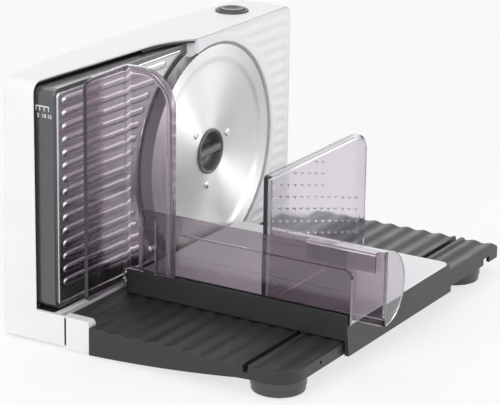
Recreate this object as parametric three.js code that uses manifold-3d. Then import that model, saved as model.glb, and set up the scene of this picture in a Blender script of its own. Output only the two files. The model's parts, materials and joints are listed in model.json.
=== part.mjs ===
// Electric food slicer with a fixed table, sliding carriage and food pusher.
// Millimetres, +Z up. The working frame has x = 0 on the blade's axis, y = 0 on the housing's front face
// (y grows to the back) and z = 0 on the worktop. The group at the end moves it to its footprint's centre.
import * as THREE from 'three';
import { mergeVertices } from 'three/addons/utils/BufferGeometryUtils.js';
import Module from 'manifold-3d';

const wasm = await Module();
wasm.setup();

// Clearances
const SEAT_GAP = 0.1;
const FIT_GAP = 0.3;
const SLIDE_GAP = 0.5;
const CUT_OVER = 1;

// Housing
const HOUSING_LEFT = 199.5;
const HOUSING_RIGHT = 115;
const HOUSING_TOP = 197;
const HOUSING_BOTTOM = 1;
const HOUSING_CORNER = 9;
const HOUSING_FOOT_CORNER = 3;
const WALL = 2.5;
const BACK_LEFT = 57;
const BACK_RIGHT = 47;
const BACK_BULGE_X = -40;
const BACK_BULGE_Y = 72;
const BACK_LEAN = 4.3;
const LEDGE_TOP = 26;
const LEDGE_REBATE = 7.5;
const CHEEK_WIDTH = 9.5;
const CHEEK_REACH = 19.5;
const CHEEK_CORNER = 4;
const RIM_LEFT = 27;
const RIM_RIGHT = 18;
const RIM_BEND = 50;
const RIM_LIP = 0.8;
const RIM_REBATE = 3;
const POCKET_EDGE = -24;
const NEST_FRONT = 12.5;
const CHUTE_LEFT = -92;
const CHUTE_RIGHT = -47;
const CHUTE_LOW = 42;
const CHUTE_HIGH = 160;
const FACE_RIB_PITCH = 10;
const FACE_RIB_DEPTH = 0.7;
const FACE_RIB_MARGIN = 5;

// Blade and its drive
const BLADE_RADIUS = 85;
const BLADE_AXIS_Z = 101;
const BLADE_EDGE_Y = 2;
const BLADE_RIM_WIDTH = 10;
const BLADE_DISH = 2;
const BLADE_THICKNESS = 1.5;
const RECESS_GAP = 2;
const RECESS_DEPTH = 10;
const GRIP_RADIUS = 18;
const GRIP_LIP = 1.6;
const GRIP_CUP_RADIUS = 15;
const GRIP_CUP_DEPTH = 9;
const GRIP_BAR_WIDTH = 7;
const GRIP_TURN = 0.05;
const GRIP_SHANK_RADIUS = 8;
const GRIP_SHANK_LENGTH = 8;
const RIVET_CIRCLE = 27;
const RIVET_TURN = 0.35;
const RIVET_RADIUS = 1.8;
const RIVET_HEAD_RADIUS = 3.2;
const RIVET_HEAD = 0.8;
const RIVETS = 3;
const FLANGE_RADIUS = 36;
const FLANGE_THICKNESS = 3.4;
const HUB_RADIUS = 18;
const SPINDLE_RADIUS = 5;
const SPINDLE_END_RADIUS = 4;
const GEAR_TEETH = 30;
const GEAR_MODULE = 2.25;
const GEAR_WIDTH = 10;
const GEAR_Y = 32.5;
const WORM_RADIUS = 7;
const WORM_LENGTH = 26;
const TOOTH_ADDENDUM = 1.3;
const TOOTH_DEDENDUM = 1.7;
const PLATE_THICKNESS = 3;
const MOTOR_RADIUS = 18.5;
const MOTOR_LENGTH = 42;
const MOTOR_TOP = 60;
const SHAFT_RADIUS = 3;
const FAN_RADIUS = 16;
const FAN_HEIGHT = 8;
const FAN_BLADES = 7;

// Thickness fence and its dial
const SLICE_AT_REST = 8;
const SLICE_MAX = 15;
const FENCE_GAP = 1;
const FENCE_SIDE = 3.5;
const FENCE_DROP = 4.7;
const FENCE_LIFT = 1.5;
const FENCE_DEPTH = 25;
const FENCE_WALL = 2.5;
const FENCE_CORNER = 6;
const FENCE_RIB_PITCH = 9.7;
const FENCE_RIB_HEIGHT = 1.3;
const FENCE_RIB_WIDTH = 6;
const FENCE_SHEET = 0.8;
const FENCE_SHEET_INSET = 1.5;
const FENCE_RIM = 6;
const FENCE_PIN_RADIUS = 3;
const FENCE_PIN_INSET = 34.5;
const FENCE_PIN_SPREAD = 50;
const CAM_INSET = 74.5;
const CAM_RADIUS = 12;
const CAM_LEAD = 18;
const CAM_GROOVE = 3.4;
const FOLLOWER_RADIUS = 1.6;
const CAM_SHAFT_RADIUS = 5;
const DIAL_RADIUS = 20;
const DIAL_HEIGHT = 15;
const DIAL_FLUTES = 10;
const DIAL_PAD_RADIUS = 25;

// Table and feet
const TABLE_LEFT = 200;
const TABLE_RIGHT = 131;
const TABLE_TOP = 22.5;
const TABLE_DEPTH = 186.5;
const TABLE_SHEET = 3;
const WAVE_PITCH = 15;
const WAVE_HEIGHT = 1.4;
const SKIRT = 2.5;
const LIP_HEIGHT = 10;
const LIP_HOLE_X = -157;
const LIP_HOLE_RADIUS = 1.2;
const LIP_NOTCH_X = 109;
const LIP_NOTCH_HALF = 5;
const SLOT_Y = -151;
const SLOT_WIDTH = 3.4;
const SLOT_DEPTH = 6;
const FOOT_RADIUS = 21;
const FOOT_HEIGHT = 12;
const FOOT_RIGHT_X = 95;
const TABLE_CORNER = 3;
const PAD_HEIGHT = 2.5;
const LUG_X = [-140, 60];

// Carriage, wall, guard and pusher
const WALL_X = -119;
const WALL_SHEET = 4;
const RAIL_SHEET = 2;
const WALL_TOP = 89;
const WALL_STEP = 75;
const WALL_GROOVE_Z = 59.4;
const WALL_GROOVE = 0.8;
const WALL_REAR = 12;
const CARRIAGE_RIGHT = 36;
const CARRIAGE_REAR = 1.5;
const CARRIAGE_SHEET = 2.5;
const BED_TOP = 35.3;
const BED_SHEET = 1.5;
const BED_CORNER = 5;
const RAIL_TOP = 42;
const RAIL_WIDTH = 6.5;
const APRON_BOTTOM = 12;
const APRON_SHEET = 1.5;
const APRON_RAKE = 2;
const GUARD_SHEET = 3;
const GUARD_LEFT = 178;
const GUARD_FRONT = 44;
const GUARD_TOP = 198.5;
const GUARD_BOTTOM = 32;
const GUARD_CORNER = 28;
const GUARD_LEFT_CORNER = 8;
const GUARD_BEND = 6;
const GUARD_SCREW_Y = -23.3;
const GUARD_SCREW_Z = 61;
const GUARD_RIB_SPREAD = 6.2;
const GUARD_RIB_TOP = 86;
const GUARD_RIB_HEIGHT = 2;
const GUARD_RIB_SHEET = 1.2;
const PUSHER_Y = -117.5;
const PUSHER_SHEET = 2.6;
const PUSHER_RIGHT = 26;
const PUSHER_TOP = 131.5;
const PUSHER_BOTTOM = 37;
const PUSHER_CORNER = 16;
const PUSHER_RIM = 3.5;
const PUSHER_FRONT = 215;
const HOOK_REAR = 154;
const HOOK_FRONT = 209;
const HOOK_DROP = 12;
const WEB_WIDTH = 30;
const SPIKE_PITCH = 12;
const SPIKE_HEIGHT = 3.5;
const SPIKE_HALF = 1.2;

// Power button
const BUTTON_X = 68;
const BUTTON_Y = 27;
const BUTTON_RADIUS = 9.8;
const BUTTON_RISE = 2.6;
const BUTTON_TRAVEL = 3;
const BEZEL_WIDTH = 3.6;
const BEZEL_RISE = 1.5;
const CUP_DEPTH = 24;
const CUP_WALL = 1.3;
const CUP_FLOOR = 2.5;
const SWITCH_DROP = 9;
const SWITCH_HEIGHT = 14;
const SPRING_TURNS = 4;
const SPRING_WIRE = 0.7;

// Sizes that follow from those above
const RECESS_RADIUS = BLADE_RADIUS + RECESS_GAP;
const FENCE_ARC = RECESS_RADIUS + FENCE_GAP;
const FENCE_Y = BLADE_EDGE_Y + SLICE_AT_REST;
const FENCE_PIN_X = -HOUSING_LEFT + FENCE_PIN_INSET;
const CAM_X = -HOUSING_LEFT + CAM_INSET;
const FENCE_BODY_Y = FENCE_Y + FENCE_RIB_HEIGHT + FENCE_SHEET + SEAT_GAP;
const FENCE_BACK = FENCE_Y + FENCE_DEPTH;
const NEST_FLOOR = FENCE_BACK + SLICE_MAX - SLICE_AT_REST + 2 * SLIDE_GAP;
const BLADE_FACE_Y = BLADE_EDGE_Y + BLADE_DISH;
const FLANGE_Y = BLADE_FACE_Y + BLADE_THICKNESS + FIT_GAP;
const CUP_BACK = BLADE_FACE_Y + GRIP_CUP_DEPTH;
const GRIP_END = CUP_BACK + GRIP_SHANK_LENGTH;
const HUB_END = GEAR_Y + GEAR_WIDTH / 2 + 4;
const PLATE_Y = HUB_END + 1;
const GEAR_PITCH_RADIUS = GEAR_TEETH * GEAR_MODULE / 2;
const WORM_X = GEAR_PITCH_RADIUS + WORM_RADIUS;
const WORM_PITCH = Math.PI * GEAR_MODULE;
const DIAL_PAD_Y = backAt(CAM_X, BLADE_AXIS_Z) + 3;
const CARRIAGE_BOTTOM = TABLE_TOP + SLIDE_GAP;
const CARRIAGE_FRONT = TABLE_DEPTH + 2 * SLIDE_GAP + APRON_SHEET + APRON_RAKE;
const CARRIAGE_LEFT = WALL_X - WALL_SHEET - 1.5;
const FOOT_Y = -TABLE_DEPTH + FOOT_RADIUS;
const FOOT_LEFT_X = -TABLE_LEFT + FOOT_RADIUS;
const GUARD_X = WALL_X - WALL_SHEET - FIT_GAP;
const GUARD_REAR = 1;
const PUSHER_X = WALL_X + SLIDE_GAP;

// Materials
const paint = (color, roughness, metalness = 0, opacity = 1) => new THREE.MeshStandardMaterial({
  color, roughness, metalness, opacity, transparent: opacity < 1,
});
const WHITE_PLASTIC = paint(0xf2f2f4, 0.4);
const DARK_PLASTIC = paint(0x3a3b40, 0.5);
const BLACK_PLASTIC = paint(0x1d1d20, 0.45);
const GREY_PLASTIC = paint(0x4b4c51, 0.5);
const SMOKE_CLEAR = paint(0x8d8090, 0.15, 0, 0.5);
const STEEL = paint(0xc9cacc, 0.3, 1);
const DARK_STEEL = paint(0x77797d, 0.4, 1);
const NYLON = paint(0xe5e1d4, 0.6);
const RUBBER = paint(0x26262a, 0.9);

// Depth of the curved, leaning back at a place along the housing and a height
function backAt(x, z) {
  const a = -HOUSING_LEFT - 2 * BACK_BULGE_X + HOUSING_RIGHT;
  const b = 2 * (BACK_BULGE_X + HOUSING_LEFT);
  const c = -HOUSING_LEFT - x;
  const t = (-b + Math.sqrt(b * b - 4 * a * c)) / (2 * a);
  const foot = (1 - t) * (1 - t) * BACK_LEFT + 2 * t * (1 - t) * BACK_BULGE_Y + t * t * BACK_RIGHT;
  return foot - BACK_LEAN * z / HOUSING_TOP;
}

// A closed geometry as a solid, wound so that its faces point out
function solid(geometry) {
  const bare = geometry.clone();
  bare.deleteAttribute('normal');
  bare.deleteAttribute('uv');
  const merged = mergeVertices(bare, 1e-4);
  const places = merged.attributes.position.array;
  const corners = merged.index.array;
  const triangles = [];
  let volume = 0;
  const [p, q, r] = [new THREE.Vector3(), new THREE.Vector3(), new THREE.Vector3()];
  for (let i = 0; i < corners.length; i += 3) {
    const [a, b, c] = corners.slice(i, i + 3);
    if (a === b || b === c || c === a) continue;
    triangles.push([a, b, c]);
    volume += p.fromArray(places, 3 * a).dot(q.fromArray(places, 3 * b).cross(r.fromArray(places, 3 * c)));
  }
  const wound = triangles.flatMap(([a, b, c]) => (volume > 0 ? [a, b, c] : [a, c, b]));
  return new wasm.Manifold(new wasm.Mesh({
    numProp: 3, vertProperties: new Float32Array(places), triVerts: new Uint32Array(wound),
  }));
}

// Turns that lay an outline's extrusion along a chosen axis: outlines are drawn in the other two, in x, y, z order
const [AX, AY, AZ] = [new THREE.Vector3(1, 0, 0), new THREE.Vector3(0, 1, 0), new THREE.Vector3(0, 0, 1)];
const ALONG = {
  x: new THREE.Matrix4().makeBasis(AY, AZ, AX),
  y: new THREE.Matrix4().makeBasis(AX, AZ, AY.clone().negate()),
  z: new THREE.Matrix4(),
};
const offset = (axis, distance) => ({ x: 0, y: 0, z: 0, [axis]: distance });

function extrude(shape, axis, from, to, curveSegments = 5) {
  const geometry = new THREE.ExtrudeGeometry(shape, { depth: to - from, bevelEnabled: false, curveSegments });
  geometry.applyMatrix4(ALONG[axis]);
  const place = offset(axis, axis === 'y' ? to : from);
  geometry.translate(place.x, place.y, place.z);
  return solid(geometry);
}

function polygon(points) {
  return new THREE.Shape(points.map(([u, v]) => new THREE.Vector2(u, v)));
}

// Rectangle with corner radii in the order low-left, low-right, high-right, high-left
function roundedRect(left, low, right, high, corners) {
  const radii = typeof corners === 'number' ? [corners, corners, corners, corners] : corners;
  const centres = [[left, low, 1, 1], [right, low, -1, 1], [right, high, -1, -1], [left, high, 1, -1]];
  const shape = new THREE.Shape();
  centres.forEach(([u, v, su, sv], i) => {
    const radius = radii[i];
    const start = Math.PI + i * Math.PI / 2;
    if (radius > 0) shape.absarc(u + su * radius, v + sv * radius, radius, start, start + Math.PI / 2, false);
    else if (i === 0) shape.moveTo(u, v);
    else shape.lineTo(u, v);
  });
  return shape;
}

function box(x0, x1, y0, y1, z0, z1) {
  const geometry = new THREE.BoxGeometry(x1 - x0, y1 - y0, z1 - z0);
  geometry.translate((x0 + x1) / 2, (y0 + y1) / 2, (z0 + z1) / 2);
  return solid(geometry);
}

// Places a geometry made round the y axis onto a line along another axis; u and v are the line's other two places
function stand(geometry, axis, u, v) {
  if (axis === 'x') geometry.rotateZ(-Math.PI / 2).translate(0, u, v);
  if (axis === 'y') geometry.translate(u, 0, v);
  if (axis === 'z') geometry.rotateX(Math.PI / 2).translate(u, v, 0);
  return solid(geometry);
}

function rod(axis, radius, from, to, u, v, segments = 12) {
  const geometry = new THREE.CylinderGeometry(radius, radius, to - from, segments);
  geometry.translate(0, (from + to) / 2, 0);
  return stand(geometry, axis, u, v);
}

// A turned piece from [radius, place along the axis] points; a ring's points close on themselves
function turned(axis, points, u, v, segments = 32) {
  const geometry = new THREE.LatheGeometry(points.map(([r, h]) => new THREE.Vector2(r, h)), segments);
  return stand(geometry, axis, u, v);
}

// A bar whose radius varies with the angle and the place along it, such as a worm or a barrel cam
function helical(axis, radiusAt, from, to, u, v, around, steps) {
  const places = [0, from, 0];
  for (let i = 0; i <= steps; i += 1) {
    const along = from + (to - from) * i / steps;
    for (let j = 0; j < around; j += 1) {
      const angle = 2 * Math.PI * j / around;
      const radius = radiusAt(angle, along);
      places.push(radius * Math.cos(angle), along, -radius * Math.sin(angle));
    }
  }
  places.push(0, to, 0);
  const end = places.length / 3 - 1;
  const corners = [];
  for (let j = 0; j < around; j += 1) {
    const next = (j + 1) % around;
    corners.push(0, 1 + next, 1 + j);
    for (let i = 0; i < steps; i += 1) {
      const [low, high] = [1 + i * around, 1 + (i + 1) * around];
      corners.push(low + j, low + next, high + j, high + j, low + next, high + next);
    }
    corners.push(end, 1 + steps * around + j, 1 + steps * around + next);
  }
  const geometry = new THREE.BufferGeometry();
  geometry.setAttribute('position', new THREE.Float32BufferAttribute(places, 3));
  geometry.setIndex(corners);
  return stand(geometry, axis, u, v);
}

const join = (first, ...rest) => rest.reduce((sum, piece) => sum.add(piece), first);
const cut = (first, ...rest) => rest.reduce((sum, piece) => sum.subtract(piece), first);
const onBladeAxis = (radius, from, to, segments = 48) => rod('y', radius, from, to, 0, BLADE_AXIS_Z, segments);

const slicer = new THREE.Group();

function place(name, piece, material) {
  const mesh = piece.getMesh();
  const geometry = new THREE.BufferGeometry();
  geometry.setAttribute('position', new THREE.Float32BufferAttribute(mesh.vertProperties, 3));
  geometry.setIndex(Array.from(mesh.triVerts));
  geometry.computeVertexNormals();
  const part = new THREE.Mesh(geometry, material);
  part.name = name;
  slicer.add(part);
}

// A screw with its head's underside at a place on an axis, its shank running the way of the sign
function screw(axis, seat, sign, u, v, shank, radius = 1.6, head = 3.2, rise = 2) {
  const points = [[0, seat + sign * shank], [radius, seat + sign * shank], [radius, seat], [head, seat]];
  points.push([head * 0.8, seat - sign * rise], [0, seat - sign * rise]);
  return turned(axis, points, u, v, 7);
}

// Housing: an outline in plan crossed with an outline from the front
function silhouette(inset, from, to) {
  const corner = HOUSING_CORNER - inset;
  const foot = Math.max(HOUSING_FOOT_CORNER - inset, 0);
  const outline = roundedRect(
    -HOUSING_LEFT + inset, HOUSING_BOTTOM + inset, HOUSING_RIGHT - inset, HOUSING_TOP - inset,
    [foot, foot, corner, corner],
  );
  return extrude(outline, 'y', from, to, 4);
}

function backBand(front, back) {
  const shape = new THREE.Shape();
  const shift = (inset) => [BACK_LEFT - inset, BACK_BULGE_Y - inset, BACK_RIGHT - inset];
  const [leftBack, bulgeBack, rightBack] = shift(back);
  shape.moveTo(HOUSING_RIGHT, rightBack);
  shape.quadraticCurveTo(BACK_BULGE_X, bulgeBack, -HOUSING_LEFT, leftBack);
  if (front === null) {
    shape.lineTo(-HOUSING_LEFT, -BACK_LEFT);
    shape.lineTo(HOUSING_RIGHT, -BACK_LEFT);
  } else {
    const [leftFront, bulgeFront, rightFront] = shift(front);
    shape.lineTo(-HOUSING_LEFT, leftFront);
    shape.quadraticCurveTo(BACK_BULGE_X, bulgeFront, HOUSING_RIGHT, rightFront);
  }
  const lean = new THREE.Matrix4().makeShear(0, 0, 0, 0, 0, -BACK_LEAN / HOUSING_TOP);
  return extrude(shape, 'z', 0, HOUSING_TOP + CUT_OVER, 6).transform(lean.elements);
}

function frontPocket(grow) {
  const shape = new THREE.Shape();
  const far = -HOUSING_LEFT - CUT_OVER;
  shape.moveTo(far, -CUT_OVER);
  shape.lineTo(POCKET_EDGE + grow, -CUT_OVER);
  shape.lineTo(POCKET_EDGE + grow, grow);
  shape.quadraticCurveTo(POCKET_EDGE - RIM_BEND * 0.4, RIM_RIGHT + grow, POCKET_EDGE - RIM_BEND, RIM_RIGHT + grow);
  shape.lineTo(far, RIM_LEFT + grow);
  return extrude(shape, 'z', LEDGE_TOP - grow, HOUSING_TOP + CUT_OVER);
}

// The fence's outline from the front, cut round the blade
function fenceBlock(grow, from, to, around = 40) {
  const outline = roundedRect(
    -HOUSING_LEFT + FENCE_SIDE - grow, LEDGE_TOP + FENCE_LIFT - grow,
    POCKET_EDGE - 2 * FENCE_GAP + grow, HOUSING_TOP - FENCE_DROP + grow,
    [FENCE_CORNER + grow, 0, 0, FENCE_CORNER + grow],
  );
  const arc = onBladeAxis(FENCE_ARC - grow, from - CUT_OVER, to + CUT_OVER, around);
  return cut(extrude(outline, 'y', from, to, 4), arc);
}

const PLATE_POSTS = [[-34, 32], [-34, -32], [56, 34]].map(([x, z]) => [x, BLADE_AXIS_Z + z]);
const COVER_INSET = 14;
const COVER_LOW = 16;
const COVER_HIGH = HOUSING_TOP - 16;
const COVER_POINTS = [-HOUSING_LEFT + COVER_INSET, HOUSING_RIGHT - COVER_INSET]
  .flatMap((x) => [[x, COVER_LOW], [x, COVER_HIGH]]);
const REAR_PADS = [-HOUSING_LEFT + 22, HOUSING_RIGHT - 22];
const REAR_PAD_Y = 36;
const REAR_PAD_RADIUS = 9;
const POST_RADIUS = 5;
const LUG_HALF = 12;
const LUG_REACH = 16;
const LUG_HIGH = TABLE_TOP - TABLE_SHEET - WAVE_HEIGHT - 4;
const LUG_SHEET = 4;
const LUG_SCREW_Y = -9;
const COVER_SHEET = 2.7;
const PAD_THICKNESS = 6;
const HEAD_RADIUS = 3.2;
const SHANK_HOLE = 1.9;
const coverSeat = (x, z) => backAt(x, z) - FIT_GAP - 3.5;
const REBATE_LOW = LUG_HIGH + SLIDE_GAP;

// The way that a slice takes from behind the blade's edge to the back of the housing
function chute() {
  return box(CHUTE_LEFT, CHUTE_RIGHT, RECESS_DEPTH - CUT_OVER, HOUSING_TOP, CHUTE_LOW, CHUTE_HIGH);
}

// All of the housing's mouldings as one form, before it is parted
function housingForm() {
  const outer = backBand(null, 0).intersect(silhouette(0, 0, HOUSING_TOP));
  const cavity = cut(
    silhouette(WALL, WALL, HOUSING_TOP),
    onBladeAxis(RECESS_RADIUS + WALL, -CUT_OVER, RECESS_DEPTH + WALL, 24),
    fenceBlock(FENCE_GAP + WALL, -CUT_OVER, NEST_FLOOR + WALL, 24),
    frontPocket(WALL),
  );
  const chuteWalls = box(CHUTE_LEFT - WALL, CHUTE_RIGHT + WALL, RECESS_DEPTH, HOUSING_TOP,
    CHUTE_LOW - WALL, CHUTE_HIGH + WALL).intersect(backBand(null, COVER_SHEET + FIT_GAP));
  const rebateWall = box(-HOUSING_LEFT + WALL / 2, CHUTE_RIGHT, LEDGE_REBATE, LEDGE_REBATE + WALL,
    HOUSING_BOTTOM + WALL / 2, LEDGE_TOP - WALL / 2);
  const thinned = silhouette(RIM_LIP, -CUT_OVER, HOUSING_TOP)
    .subtract(silhouette(RIM_LIP + RIM_REBATE, -CUT_OVER, HOUSING_TOP))
    .intersect(frontPocket(RIM_REBATE))
    .intersect(box(-HOUSING_LEFT, POCKET_EDGE - RIM_BEND, -CUT_OVER, HOUSING_TOP, 0, HOUSING_TOP));
  let shell = cut(
    join(cut(outer, cavity), chuteWalls, rebateWall),
    thinned, chute(), frontPocket(0), fenceBlock(FENCE_GAP, -CUT_OVER, NEST_FLOOR),
    onBladeAxis(RECESS_RADIUS, -CUT_OVER, RECESS_DEPTH),
    onBladeAxis(HUB_RADIUS + 2, 0, RECESS_DEPTH + 2 * WALL, 16),
    rod('z', BUTTON_RADIUS + BEZEL_WIDTH - 0.5, HOUSING_TOP - 2 * WALL, HOUSING_TOP + CUT_OVER, BUTTON_X, BUTTON_Y),
  );
  for (const [x, z] of PLATE_POSTS) {
    const post = rod('y', POST_RADIUS, RECESS_DEPTH + WALL / 2, PLATE_Y - SEAT_GAP, x, z, 8);
    shell = cut(shell.add(post), rod('y', SHANK_HOLE, PLATE_Y - 12, PLATE_Y, x, z, 6));
  }
  for (const [x, z] of COVER_POINTS) {
    const overNest = x < 0 && z > LEDGE_TOP;
    const front = overNest ? NEST_FLOOR + WALL / 2 : WALL / 2;
    const seat = coverSeat(x, z) - WALL - SEAT_GAP;
    const boss = rod('y', POST_RADIUS, front, seat, x, z, 8);
    shell = cut(shell.add(boss), rod('y', SHANK_HOLE, seat - (overNest ? 3 : 10), seat + CUT_OVER, x, z, 6));
  }
  for (const [end, high] of [[-HOUSING_LEFT, LEDGE_TOP], [HOUSING_RIGHT - CHEEK_WIDTH, TABLE_TOP]]) {
    const outline = roundedRect(
      -CHEEK_REACH, HOUSING_BOTTOM, WALL, high, [HOUSING_FOOT_CORNER, 0, 0, CHEEK_CORNER],
    );
    shell = shell.add(extrude(outline, 'x', end, end + CHEEK_WIDTH, 3));
  }
  for (const x of LUG_X) {
    const lug = box(x - LUG_HALF, x + LUG_HALF, -LUG_REACH, WALL / 2, LUG_HIGH - LUG_SHEET, LUG_HIGH);
    shell = cut(shell.add(lug), rod('z', SHANK_HOLE, 0, LUG_HIGH + CUT_OVER, x, LUG_SCREW_Y, 6));
  }
  for (const x of REAR_PADS) {
    shell = shell.subtract(rod('z', REAR_PAD_RADIUS + FIT_GAP, 0, PAD_HEIGHT, x, REAR_PAD_Y));
  }
  for (const axis of [FENCE_PIN_SPREAD, -FENCE_PIN_SPREAD]) {
    shell = shell.subtract(rod('y', FENCE_PIN_RADIUS + SEAT_GAP, 0, NEST_FLOOR + 2 * WALL, FENCE_PIN_X,
      BLADE_AXIS_Z + axis, 12));
  }
  return cut(
    shell, faceRibs(), rod('y', CAM_SHAFT_RADIUS + FIT_GAP, 0, NEST_FLOOR + 2 * WALL, CAM_X, BLADE_AXIS_Z, 12),
    box(-HOUSING_LEFT + CHEEK_WIDTH, CHUTE_RIGHT, -CUT_OVER, LEDGE_REBATE, REBATE_LOW, LEDGE_TOP + CUT_OVER),
  );
}

// The rooms that part the housing's form; each grows where another moulding is cut clear of it
const ductRoom = (grow) => box(CHUTE_LEFT - 2 * WALL, CHUTE_RIGHT + 2 * WALL, NEST_FLOOR + WALL + SEAT_GAP - grow,
  HOUSING_TOP, CHUTE_LOW - 2 * WALL, CHUTE_HIGH + 2 * WALL);

function faceRoom(grow) {
  const left = CHUTE_RIGHT + SEAT_GAP - grow;
  const low = LEDGE_TOP + SEAT_GAP - grow;
  const over = HOUSING_TOP + CUT_OVER;
  const core = silhouette(WALL + SEAT_GAP - grow, -CUT_OVER, HOUSING_TOP)
    .intersect(box(left, HOUSING_RIGHT, -CUT_OVER, HOUSING_TOP, low, over));
  return box(left, HOUSING_RIGHT + CUT_OVER, -CUT_OVER, WALL + grow, low, over).add(core);
}

function nestRoom(grow) {
  return silhouette(WALL + SEAT_GAP - grow, -CUT_OVER, HOUSING_TOP).intersect(box(
    -HOUSING_LEFT, CHUTE_RIGHT + grow, NEST_FRONT - grow, HOUSING_TOP, LEDGE_TOP - WALL - grow, HOUSING_TOP));
}

// Shallow level grooves on the front face to the right of the blade
function faceRibs() {
  const ribs = [];
  const width = FACE_RIB_PITCH * 0.7;
  for (let z = LEDGE_TOP + FACE_RIB_PITCH; z < HOUSING_TOP - FACE_RIB_PITCH; z += FACE_RIB_PITCH) {
    const outline = new THREE.Shape();
    outline.moveTo(-CUT_OVER, z - width / 2);
    outline.lineTo(0, z - width / 2);
    outline.quadraticCurveTo(2 * FACE_RIB_DEPTH, z, 0, z + width / 2);
    outline.lineTo(-CUT_OVER, z + width / 2);
    ribs.push(extrude(outline, 'x', FACE_RIB_MARGIN, HOUSING_RIGHT - FACE_RIB_MARGIN, 2));
  }
  return cut(join(...ribs), onBladeAxis(RECESS_RADIUS + FACE_RIB_MARGIN, -2 * CUT_OVER, 2 * RECESS_DEPTH));
}

const INLET_X = 82;
const INLET_Z = 24;
const INLET_RADIUS = 7;
const INLET_Y = backAt(INLET_X, INLET_Z) + 1;
const INLET_BORE = 3.6;
const VENT_ROWS = 4;
const VENT_PITCH = 8;
const VENT_HEIGHT = 2.6;
const VENT_LEFT = -10;
const VENT_RIGHT = 70;
const VENT_LOW = 44;

function rearCover() {
  const skin = backBand(COVER_SHEET, FIT_GAP).intersect(silhouette(WALL + FIT_GAP, 0, HOUSING_TOP));
  const pads = COVER_POINTS.map(([x, z]) => rod('y', PAD_THICKNESS, coverSeat(x, z) - WALL, HOUSING_TOP, x, z, 8));
  const limit = backBand(null, FIT_GAP).intersect(silhouette(WALL + FIT_GAP, 0, HOUSING_TOP));
  let cover = skin.add(join(...pads).intersect(limit));
  cover = cover.add(rod('y', DIAL_PAD_RADIUS, DIAL_PAD_Y - 8, DIAL_PAD_Y, CAM_X, BLADE_AXIS_Z, 18));
  cover = cover.add(rod('y', INLET_RADIUS + 5, INLET_Y - 4, INLET_Y, INLET_X, INLET_Z));
  cover = cut(
    cover,
    rod('y', CAM_SHAFT_RADIUS + FIT_GAP, 0, DIAL_PAD_Y + CUT_OVER, CAM_X, BLADE_AXIS_Z, 12),
    rod('y', INLET_RADIUS + FIT_GAP, 0, HOUSING_TOP, INLET_X, INLET_Z, 14),
    chute(),
  );
  for (const [x, z] of COVER_POINTS) {
    cover = cut(
      cover, rod('y', HEAD_RADIUS + FIT_GAP + 0.2, coverSeat(x, z), HOUSING_TOP, x, z, 8),
      rod('y', SHANK_HOLE, 0, HOUSING_TOP, x, z, 6),
    );
  }
  for (let i = 0; i < VENT_ROWS; i += 1) {
    const low = VENT_LOW + i * VENT_PITCH;
    cover = cover.subtract(box(VENT_LEFT, VENT_RIGHT, RECESS_DEPTH, HOUSING_TOP, low, low + VENT_HEIGHT));
  }
  return cover;
}

const form = housingForm();
place('housing_shell', cut(form, faceRoom(SEAT_GAP), nestRoom(SEAT_GAP), ductRoom(SEAT_GAP)), WHITE_PLASTIC);
place('face_panel', form.intersect(faceRoom(0)).subtract(ductRoom(SEAT_GAP)), WHITE_PLASTIC);
place('fence_nest', form.intersect(nestRoom(0)).subtract(ductRoom(SEAT_GAP)), WHITE_PLASTIC);
place('slice_duct', form.intersect(ductRoom(0)), WHITE_PLASTIC);
place('rear_cover', rearCover(), WHITE_PLASTIC);
COVER_POINTS.forEach(([x, z], i) => {
  const shank = x < 0 && z > LEDGE_TOP ? 4.5 : 10;
  place(`rear_cover_screw_${i + 1}`, screw('y', coverSeat(x, z) + SEAT_GAP, -1, x, z, shank), DARK_STEEL);
});
const inletSeat = INLET_Y + SEAT_GAP;
place('cord_inlet', turned('y', [
  [INLET_BORE, inletSeat - 8], [INLET_RADIUS, inletSeat - 8], [INLET_RADIUS, inletSeat],
  [INLET_RADIUS + 3, inletSeat], [INLET_RADIUS + 3, inletSeat + 1.5], [INLET_BORE + 2, inletSeat + 3],
  [INLET_BORE, inletSeat + 3], [INLET_BORE, inletSeat - 8],
], INLET_X, INLET_Z, 14), BLACK_PLASTIC);
REAR_PADS.forEach((x, i) => {
  const pad = rod('z', REAR_PAD_RADIUS, 0, PAD_HEIGHT - SEAT_GAP, x, REAR_PAD_Y);
  place(`rear_pad_${['left', 'right'][i]}`, pad, RUBBER);
});

// Gear plate: an upright plate on three posts, with a shelf for the motor and a tab for the shaft's end
const SHELF_LEFT = WORM_X - MOTOR_RADIUS - 2;
const SHELF_RIGHT = WORM_X + MOTOR_RADIUS + 2;
const TAB_Z = BLADE_AXIS_Z + WORM_LENGTH / 2 + 6;
const MOTOR_SCREW_REACH = 14;

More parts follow.
